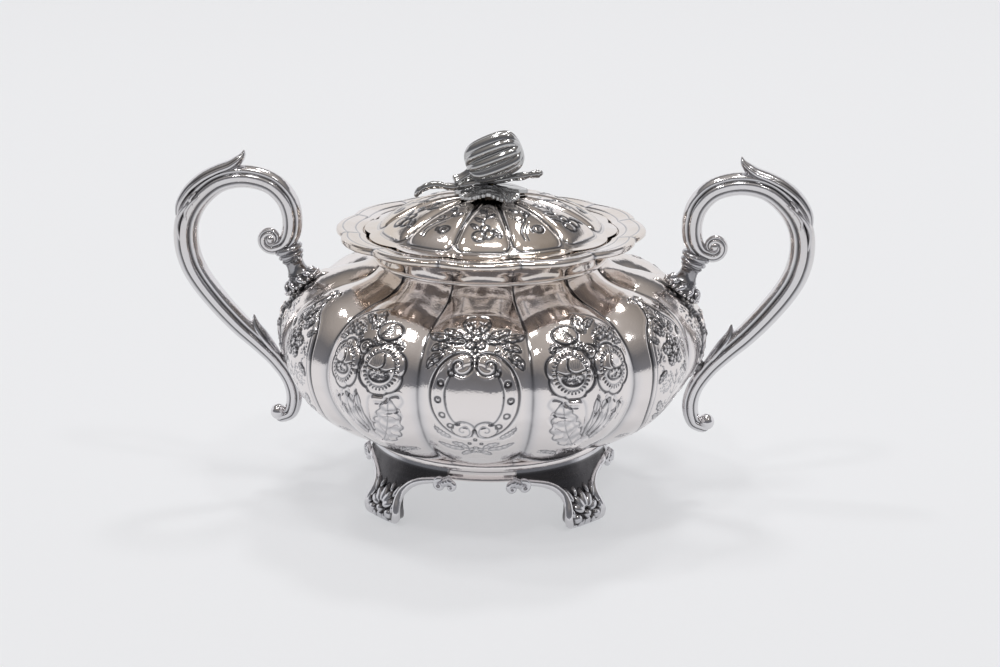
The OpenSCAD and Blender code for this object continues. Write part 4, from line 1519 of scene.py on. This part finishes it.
    def make(self) -> None:
        """Places every part on both sides."""
        parts = {"handle": self.rod(), "handle_socket": self.socket(), "handle_collar": self.collar(),
                 "handle_pad": self.pad()}
        for side, sign in (("right", 1), ("left", -1)):
            for name, skin in parts.items():
                faced = Skin([block * (sign, 1, 1) for block in skin.points], skin.tarnish, skin.quads,
                             skin.tris, skin.count)
                place(f"{name}_{side}_cast", faced.mesh(f"{name}_{side}", crease=46), CAST, Body.BOWL,
                      Slot.CAST, (f"{name}_{side}",))
            pearls = pearl_mesh(f"handle_pearls_{side}", self.pearls() * (sign, 1, 1), self.pearl_r, CAST)
            place(f"handle_pearls_{side}", pearls, CAST, Body.BOWL, Slot.CAST, (f"handle_socket_{side}",))


# ---- Lid ---------------------------------------------------------------------------------------


def chase_scroll_petal(r: Relief) -> None:
    """Rosette, S-scroll and curling leaves for every other petal of the lid."""
    r.line([(-4.6, 10.6), (-4.4, 13.6), (-2.6, 16.6), (-0.6, 19), (1.2, 22), (1.0, 25.2)], width=0.42,
           height=-0.3)
    r.line([(-3.2, 10.2), (-3, 13), (-1, 16.2), (0.6, 18.4)], width=0.3, height=-0.2, tarnish=0.6)
    r.spiral((-2.6, 20.4), 1.9, 250, 1.2, width=0.34, height=-0.26)
    r.boss((2.6, 14.4), (1.9, 1.7), 0.4, outline=0.9)
    r.boss((2.6, 14.4), (0.7, 0.6), -0.2, outline=0.7)
    r.leaf((0.4, 13.2), (-0.4, 15.4), 1.2, 0, 0.3, 2)
    r.leaf((0.6, 21.8), (3.4, 25.4), 1.9, -0.4, 0.35, 3)
    r.leaf((0.2, 25), (-2.2, 28.4), 1.8, 0.3, 0.35, 3)
    r.line([(-1.4, 30.6), (0, 29.4), (1.4, 30.6)], width=0.26, height=-0.18)


def chase_flower_petal(r: Relief) -> None:
    """Fruit on a stem with leaves for the other petals of the lid."""
    r.boss((-1.6, 12.6), (2.2, 2.1), 0.5, outline=0.9)
    r.boss((1.9, 13.2), (1.8, 1.7), 0.4, outline=0.9)
    r.boss((0.2, 16.4), (1.5, 1.4), 0.4, outline=0.9)
    r.stipple((-1.6, 12.6), (1.6, 1.5), 9, 0.24, 0.14)
    r.line([(0, 17.6), (-0.4, 20), (0.4, 23), (0, 28.6)], width=0.34, height=-0.24)
    r.leaf((2.6, 15.4), (6.4, 11.6), 2.0, 0.5, 0.4, 4)
    r.leaf((-2.4, 15.6), (-5.2, 18.6), 1.7, -0.3, 0.35, 3)
    r.leaf((-0.2, 20.2), (-3.8, 22.6), 1.9, 0.5, 0.4, 3)
    r.leaf((0.2, 22.4), (3.2, 25.2), 1.7, -0.4, 0.4, 3)
    r.leaf((0, 25.6), (-2, 28.6), 1.4, 0.3, 0.3, 2)


@dataclass
class Lid:
    """Domed lid of twelve raised petals in a plain scalloped brim, and the band under it."""

    # Top and underside of the sheet from the brim inwards; its middle rises to the finial's seat
    outline: tuple = ((47.3, 103), (44.6, 103.22), (42.4, 103.44), (40.7, 104.3), (38.8, 105.8),
                      (34.5, 108.6), (28, 111.5), (20, 113.8), (13, 114.9), (9.4, 115.4), (7.4, 116.4),
                      (6, 117.7), (5, 118.2), (1.6, 118.3))
    under: tuple = ((47.2, 101.2), (40.4, 101.2), (40.4, 102.4), (33.9, 107.2), (27.4, 110.1), (19.4, 112.4),
                    (12.4, 113.5), (8.4, 113.9), (5.4, 116.2), (4.8, 116.9), (1.6, 116.9))
    petal_end: float = 41.2
    petal_lift: float = 0.8
    valley: float = 0.7
    scallop: float = 2.1
    per_petal: int = 54
    columns_under: int = 144

    def petal_edge(self, across: np.ndarray, radius: np.ndarray) -> np.ndarray:
        """How far inside the border of a petal each place is, with round lower corners."""
        corner = 3.6
        a = HALF_LOBE * radius - np.abs(across) - 0.4
        b = self.petal_end - radius
        rounded = corner - np.hypot(corner - a, corner - b)
        return np.where((a < corner) & (b < corner), rounded, np.minimum(a, b))

    def make(self) -> None:
        """Chases two petals, repeats them round the lid, and closes it underneath."""
        line = Outline(self.outline)
        s = np.concatenate([np.arange(0, 38, 0.36), np.arange(38, line.s[-1], 1.0), line.s[-1:]])
        at, out, _ = line.read(s)
        u = np.linspace(-1, 1, self.per_petal, endpoint=False)
        radius = at[:, :1] + 0 * u[None]
        across = u[None] * HALF_LOBE * radius
        lifts, darks = [], []
        for chase in (chase_flower_petal, chase_scroll_petal):
            relief = Relief(across, 48 - radius)
            chase(relief)
            inside = self.petal_edge(across, radius)
            low = -self.valley * smooth_step((42 - radius) / 6) * smooth_step((radius - 8) / 8)
            round_edge = np.sqrt(np.clip(1 - (1 - np.clip(inside / 3.2, 0, 1)) ** 2, 0, 1))
            fade = smooth_step((radius - 8) / 6)
            lift = np.where(inside > 0, low + (self.petal_lift - low) * round_edge, low) * fade
            line_out = np.exp(-(((inside + 1.0) / 0.28) ** 2)) * smooth_step((radius - 37) / 2)
            border = np.exp(-(((inside + 0.1) / 0.32) ** 2)) * fade
            lifts.append(lift - 0.1 * line_out + 0.5 * relief.height * smooth_step(inside / 0.8))
            darks.append(np.maximum.reduce([0.4 * border, 0.2 * line_out,
                                            0.75 * relief.tarnish * (inside > 0)]))
        lift, dark = np.hstack(lifts * 6), np.hstack(darks * 6)
        azimuth = np.concatenate([k * 2 * HALF_LOBE + u * HALF_LOBE for k in range(LOBES)])
        place_u = np.tile(u, LOBES)
        brim = self.scallop * smooth_step((at[:, 0] - 41) / 6.3)
        grid_r = at[:, :1] + out[:, :1] * lift - brim[:, None] * place_u[None] ** 2
        grid_z = at[:, 1:] + out[:, 1:] * lift
        skin = Skin()
        top = skin.sheet(turned(grid_r, grid_z, azimuth[None]), dark, wrap=True)
        coarse = np.linspace(azimuth[0], azimuth[0] + 2 * math.pi, self.columns_under, endpoint=False)
        coarse_u = ((coarse / HALF_LOBE + 1) % 2) - 1
        under = np.array(self.under)
        drop = self.scallop * (under[:, 0] > 45)
        groove = 0.8 * smooth_step((under[:, 0] - 6) / 8) * (under[:, 1] > 104)
        under_r = under[:, :1] - drop[:, None] * coarse_u[None] ** 2
        under_z = under[:, 1:] - groove[:, None] * coarse_u[None] ** 4
        low = skin.sheet(turned(under_r, under_z, coarse[None]), 0.1, inward=True, wrap=True)
        outer_top, crown_top, outer_low, crown_low = (
            np.append(grid[row], grid[row][0]) for grid in (top, low) for row in (0, -1))
        skin.tris += [zip_edges(outer_top[::-1], outer_low[::-1]), zip_edges(crown_top, crown_low)]
        place("lid_dome", skin.mesh("lid_dome", weld=False, crease=60), POLISHED, Body.LID, Slot.RAISED,
              ("lid",))
        band = [(39.5, 94.6), (40.2, 94.6), (40.4, 94.9), (40.4, 101.8), (39.5, 101.8)]
        place("lid_bezel_band", ring_mesh("lid_bezel_band", band, LINING, 240, 30), LINING, Body.LID,
              Slot.RAISED, ("lid_bezel",))


@dataclass
class Finial:
    """Melon on a leaf and a twig, with the stud, washer and nut that hold it."""

    melon_at: tuple = (1.3, 0, 130)
    melon_lean: float = 67.0
    melon_size: tuple = (8.6, 21.8)
    ribs: int = 10
    # Twig across the leaf: x, height, thickness
    twig: tuple = ((-27.8, 115.2, 0.9), (-27, 116.5, 1.3), (-25, 117.9, 1.4), (-22.4, 118.9, 1.35),
                   (-19.6, 119.1, 1.5), (-16.8, 118.7, 1.25), (-14.4, 118.5, 1.5), (-11.5, 118.8, 1.3),
                   (-4, 120.3, 1.4), (3, 121.3, 1.5), (8.6, 122.4, 1.3), (11.4, 122.9, 1.6),
                   (14.4, 123.4, 1.25), (17.2, 123.9, 1.55), (18.4, 124.2, 1.2))
    leaf_r: float = 14.2
    leaf_points: int = 5

    def melon(self) -> bpy.types.Mesh:
        """Ribbed barrel with blunt ends, by rule: a ball is stretched, squared and grooved."""
        recipe = Recipe("ribbed_melon", OXIDISED)
        w = recipe.wiring
        girth = recipe.size("Greatest radius", self.melon_size[0] * MM)
        half = recipe.size("Half length", self.melon_size[1] / 2 * MM)
        depth = recipe.size("Groove depth", 0.2)
        half_ribs = recipe.size("Half the ribs", self.ribs / 2)
        ball = w.add("GeometryNodeMeshUVSphere", 200, 72, 1.0).outputs[0]
        x, y, z = w.add("ShaderNodeSeparateXYZ", w.add("GeometryNodeInputPosition").outputs[0]).outputs
        turn = w.math("ARCTAN2", y, x)
        crest = w.math("ABSOLUTE", w.math("SINE", w.math("MULTIPLY", turn, half_ribs)))
        groove = w.math("POWER", w.math("SUBTRACT", 1.0, crest), 1.1)
        end = w.math("POWER", w.math("ABSOLUTE", z), 6.0)
        swell = w.math("SUBTRACT", 1.0, w.math("MULTIPLY", w.math("MULTIPLY", z, z), 0.16))
        barrel = w.math("MULTIPLY", w.math("POWER", w.math("MAXIMUM", w.math("SUBTRACT", 1.0, end), 0.0),
                                           0.4), swell)
        carved = w.math("MULTIPLY", barrel, w.math("SUBTRACT", 1.0, w.math("MULTIPLY", depth, groove)))
        wide = w.math("MULTIPLY", carved, girth)
        spot = w.add("ShaderNodeCombineXYZ", w.math("MULTIPLY", wide, w.math("COSINE", turn)),
                     w.math("MULTIPLY", wide, w.math("SINE", turn)), w.math("MULTIPLY", z, half)).outputs[0]
        # Tarnish in the grooves, spread wide over the sides of the ribs as painted dark reflection, and
        # darker towards both ends.
        dark = w.math("MAXIMUM", w.math("MULTIPLY", groove, 0.95), w.math("MULTIPLY", end, 0.45))
        kept = w.add("GeometryNodeStoreNamedAttribute", ball, None, "tarnish", dark, data_type="FLOAT",
                     domain="POINT").outputs[0]
        shaped = w.add("GeometryNodeSetPosition", kept, None, spot).outputs[0]
        seed = bpy.data.meshes.new("melon_seed")
        mesh = recipe.make("finial_melon_fruit", shaped, seed, 60)
        points = np.empty(len(mesh.vertices) * 3)
        mesh.vertices.foreach_get("co", points)
        moved = leaning(points.reshape(-1, 3) / MM, self.melon_lean, self.melon_at) * MM
        mesh.vertices.foreach_set("co", moved.ravel())
        mesh.update()
        return mesh

    def leaf(self) -> Skin:
        """Crinkled leaf with toothed points and veins, over the crown of the lid."""
        angle = np.linspace(0, 2 * math.pi, 360, endpoint=False)
        part = np.linspace(0.12, 1, 44)
        point = np.abs(np.sin(self.leaf_points * angle / 2))
        teeth = 0.05 * np.abs(np.sin(self.leaf_points * 5.5 * angle))
        edge = self.leaf_r * (0.8 + 0.2 * point**0.8 - teeth)
        radius = part[:, None] * edge[None]
        from_vein = np.abs(np.cos(self.leaf_points * angle / 2))
        vein = np.exp(-((from_vein / 0.14) ** 2))[None] * part[:, None] ** 0.3
        rib = 0.5 + 0.5 * np.cos(17 * part[:, None] - 3 * from_vein[None])
        wave = (0.35 * np.cos(self.leaf_points * angle)[None] * part[:, None] ** 2
                + 0.45 * np.cos(3 * angle + 1)[None] * part[:, None] ** 3)
        top = 119.7 - 0.0135 * radius**2 + wave - 0.25 * vein + 0.1 * rib
        low = 118.6 - 0.0135 * radius**2 + wave
        dark = np.maximum(0.55 * vein, 0.18 * (1 - rib)) + 0.12
        skin = Skin()
        loop = [turned(radius[::-1], np.maximum(top, low + 0.5)[::-1], angle[None]),
                turned(radius, low, angle[None])]
        grid = np.concatenate([*loop, loop[0][:1]])
        skin.sheet(grid, np.concatenate([dark[::-1], dark, dark[-1:]]), wrap=True)
        return skin

    def make(self) -> None:
        """Places the melon, leaf, twig, stalk and fastening."""
        place("finial_melon_fruit", self.melon(), OXIDISED, Body.LID, Slot.OXIDISED, ("finial_melon",))
        place("finial_leaf_cast", self.leaf().mesh("finial_leaf", crease=50), OXIDISED, Body.LID,
              Slot.OXIDISED, ("finial_leaf",))
        twig = smooth_curve(self.twig, 8)
        knots = 1 + 0.1 * np.sin(np.arange(len(twig)) * 0.55) * np.cos(np.arange(len(twig)) * 0.23)
        branch = Skin()
        branch.rod(upright(twig), twig[:, 2] * knots, 24, reeds=0.1, tarnish=0.25)
        place("finial_twig_cast", branch.mesh("finial_twig", crease=60), OXIDISED, Body.LID, Slot.OXIDISED,
              ("finial_twig",))
        stalk = Skin()
        stalk.lathe([(0, -17.4), (2, -17.4), (2.7, -16.9), (2.6, -16), (2.1, -14.4), (2.2, -12.4), (2.9, -10),
                     (0, -9)], 80,
                    (5, 0.16), 0.35)
        stalk.shape(0, lambda p: leaning(p + (1.4, 0, 0), self.melon_lean - 6, self.melon_at))
        place("finial_stalk_cast", stalk.mesh("finial_stalk", crease=50), OXIDISED, Body.LID, Slot.OXIDISED,
              ("finial_stalk",))
        self.fastening()

    @staticmethod
    def fastening() -> None:
        """Places the threaded stud, the washer and the hexagonal nut."""
        stud = Skin()
        turns = [(1.5 - 0.22 * (k % 2), 112.4 + 0.25 * k) for k in range(14)]
        stud.lathe([(0, 112), (1.2, 112)] + turns + [(1.5, 116), (1.5, 118.6), (1, 118.9), (1, 120.6),
                                                     (0, 120.6)], 48)
        place("finial_stud_thread", stud.mesh("finial_stud", crease=30), BRASS, Body.LID, Slot.BRASS,
              ("finial_stud",))
        washer = Skin()
        washer.lathe([(1.55, 115.9), (4.4, 115.9), (4.6, 116.1), (4.6, 116.7), (4.4, 116.9), (1.55, 116.9)],
                     64)
        place("finial_washer_plate", washer.mesh("finial_washer", crease=30), LINING, Body.LID, Slot.BRASS,
              ("finial_washer",))
        nut = Skin()
        nut.lathe([(1.6, 112.9), (2.9, 112.9), (3.4, 113.3), (3.6, 113.8), (3.6, 115.2), (3.4, 115.7),
                   (2.9, 115.9), (1.6, 115.9)], 6)
        place("finial_nut_hex", nut.mesh("finial_nut", crease=20), BRASS, Body.LID, Slot.BRASS,
              ("finial_nut",))


PARTS = (BowlBody, RimBorder, TurnedRings, Feet, Handles, Lid, Finial)


# ---- Studio ------------------------------------------------------------------------------------


@dataclass
class Studio:
    """Pale sweep, a room that is dim in front and pale low down behind, soft lamps and camera."""

    floor_size: float = 60.0
    target: tuple = (0.0, 0.0, 0.0617)
    azimuth: float = 4.1
    elevation: float = 17.0
    distance: float = 0.70
    lens: float = 66.2
    shift: tuple = (0.0093, 0.0)
    # Sine of the height over the horizon, and the light from there: in front of the bowl, then behind it
    front: tuple = ((-1.0, (0.84, 0.84, 0.86)), (0.015, (0.84, 0.84, 0.86)), (0.035, (0.21, 0.215, 0.235)),
                    (0.45, (0.17, 0.17, 0.18)), (0.72, (0.33, 0.31, 0.295)), (1.0, (0.52, 0.49, 0.465)))
    back: tuple = ((-1.0, (0.86, 0.86, 0.88)), (0.0, (0.86, 0.86, 0.88)), (0.49, (0.95, 0.95, 0.97)),
                   (0.53, (0.12, 0.125, 0.14)), (0.76, (0.33, 0.31, 0.295)), (1.0, (0.52, 0.49, 0.465)))
    # Lamps: azimuth, elevation, distance, size, power
    lamps: tuple = ((-38, 60, 4.5, 0.42, 15.0), (55, 56, 4.5, 0.40, 14.0), (165, 62, 4.5, 0.7, 30.0),
                    (-112, 66, 4.5, 0.4, 16.0), (5, 84, 5.0, 1.1, 36.0))

    def sweep(self) -> None:
        """Lays the floor."""
        half = self.floor_size / 2
        mesh = bpy.data.meshes.new("sweep")
        mesh.from_pydata([(-half, -half, 0), (half, -half, 0), (half, half, 0), (-half, half, 0)], [],
                         [(0, 1, 2, 3)])
        mesh.materials.append(PaperFinish().material())
        floor = bpy.data.objects.new("sweep", mesh)
        bpy.context.scene.collection.objects.link(floor)

    def air(self) -> None:
        """Builds the room's light."""
        world = bpy.data.worlds.new("studio_room")
        bpy.context.scene.world = world
        world.use_nodes = True
        world.node_tree.nodes.clear()
        w = Wiring(world.node_tree)
        way = w.add("ShaderNodeTexCoord").outputs["Generated"]
        axes = w.add("ShaderNodeSeparateXYZ", way)
        ramps = []
        for side in (self.front, self.back):
            ramp = w.add("ShaderNodeValToRGB", w.math("MULTIPLY_ADD", axes.outputs["Z"], 0.5, 0.5))
            while len(ramp.color_ramp.elements) < len(side):
                ramp.color_ramp.elements.new(0.5)
            for stop, (height, light) in zip(ramp.color_ramp.elements, side):
                stop.position = 0.5 + 0.5 * height
                stop.color = (*light, 1)
            ramps.append(ramp.outputs[0])
        behind = w.add("ShaderNodeMapRange", axes.outputs["Y"], -0.1, 0.15, 0.0, 1.0).outputs[0]
        glow = w.add("ShaderNodeBackground", w.blend(behind, ramps[0], ramps[1]), 1.0)
        w.add("ShaderNodeOutputWorld", glow.outputs[0])

    def around(self, azimuth: float, elevation: float, distance: float) -> tuple:
        """Place at an azimuth, an elevation and a distance from the target."""
        a, e = math.radians(azimuth), math.radians(elevation)
        return (self.target[0] + distance * math.sin(a) * math.cos(e),
                self.target[1] - distance * math.cos(a) * math.cos(e),
                self.target[2] + distance * math.sin(e))

    def aimed(self, name: str, data: object, spot: tuple) -> bpy.types.Object:
        """Puts a lamp or camera at a spot, looking at the target."""
        thing = bpy.data.objects.new(name, data)
        bpy.context.scene.collection.objects.link(thing)
        away = np.array(spot) - np.array(self.target)
        thing.location = spot
        thing.rotation_euler = (math.atan2(math.hypot(away[0], away[1]), away[2]), 0,
                                math.atan2(away[0], -away[1]))
        return thing

    def make(self) -> None:
        """Builds the sweep, the air, the lamps and the camera."""
        self.sweep()
        self.air()
        for number, (azimuth, elevation, distance, size, power) in enumerate(self.lamps):
            lamp = bpy.data.lights.new(f"soft_lamp_{number}", "AREA")
            lamp.shape = "DISK"
            lamp.size = size
            lamp.energy = power
            self.aimed(lamp.name, lamp, self.around(azimuth, elevation, distance))
        eye = bpy.data.cameras.new("camera")
        eye.lens = self.lens
        eye.sensor_width = 36.0
        eye.shift_x, eye.shift_y = self.shift
        eye.clip_end = 200.0
        bpy.context.scene.camera = self.aimed("camera", eye,
                                              self.around(self.azimuth, self.elevation, self.distance))
        bpy.context.scene.view_settings.view_transform = "Standard"


def main() -> None:
    """Builds the piece and its studio."""
    logging.basicConfig(level=logging.INFO, format="%(name)s %(message)s")
    for part in PARTS:
        part().make()
    Studio().make()


if __name__ == "__main__":
    main()
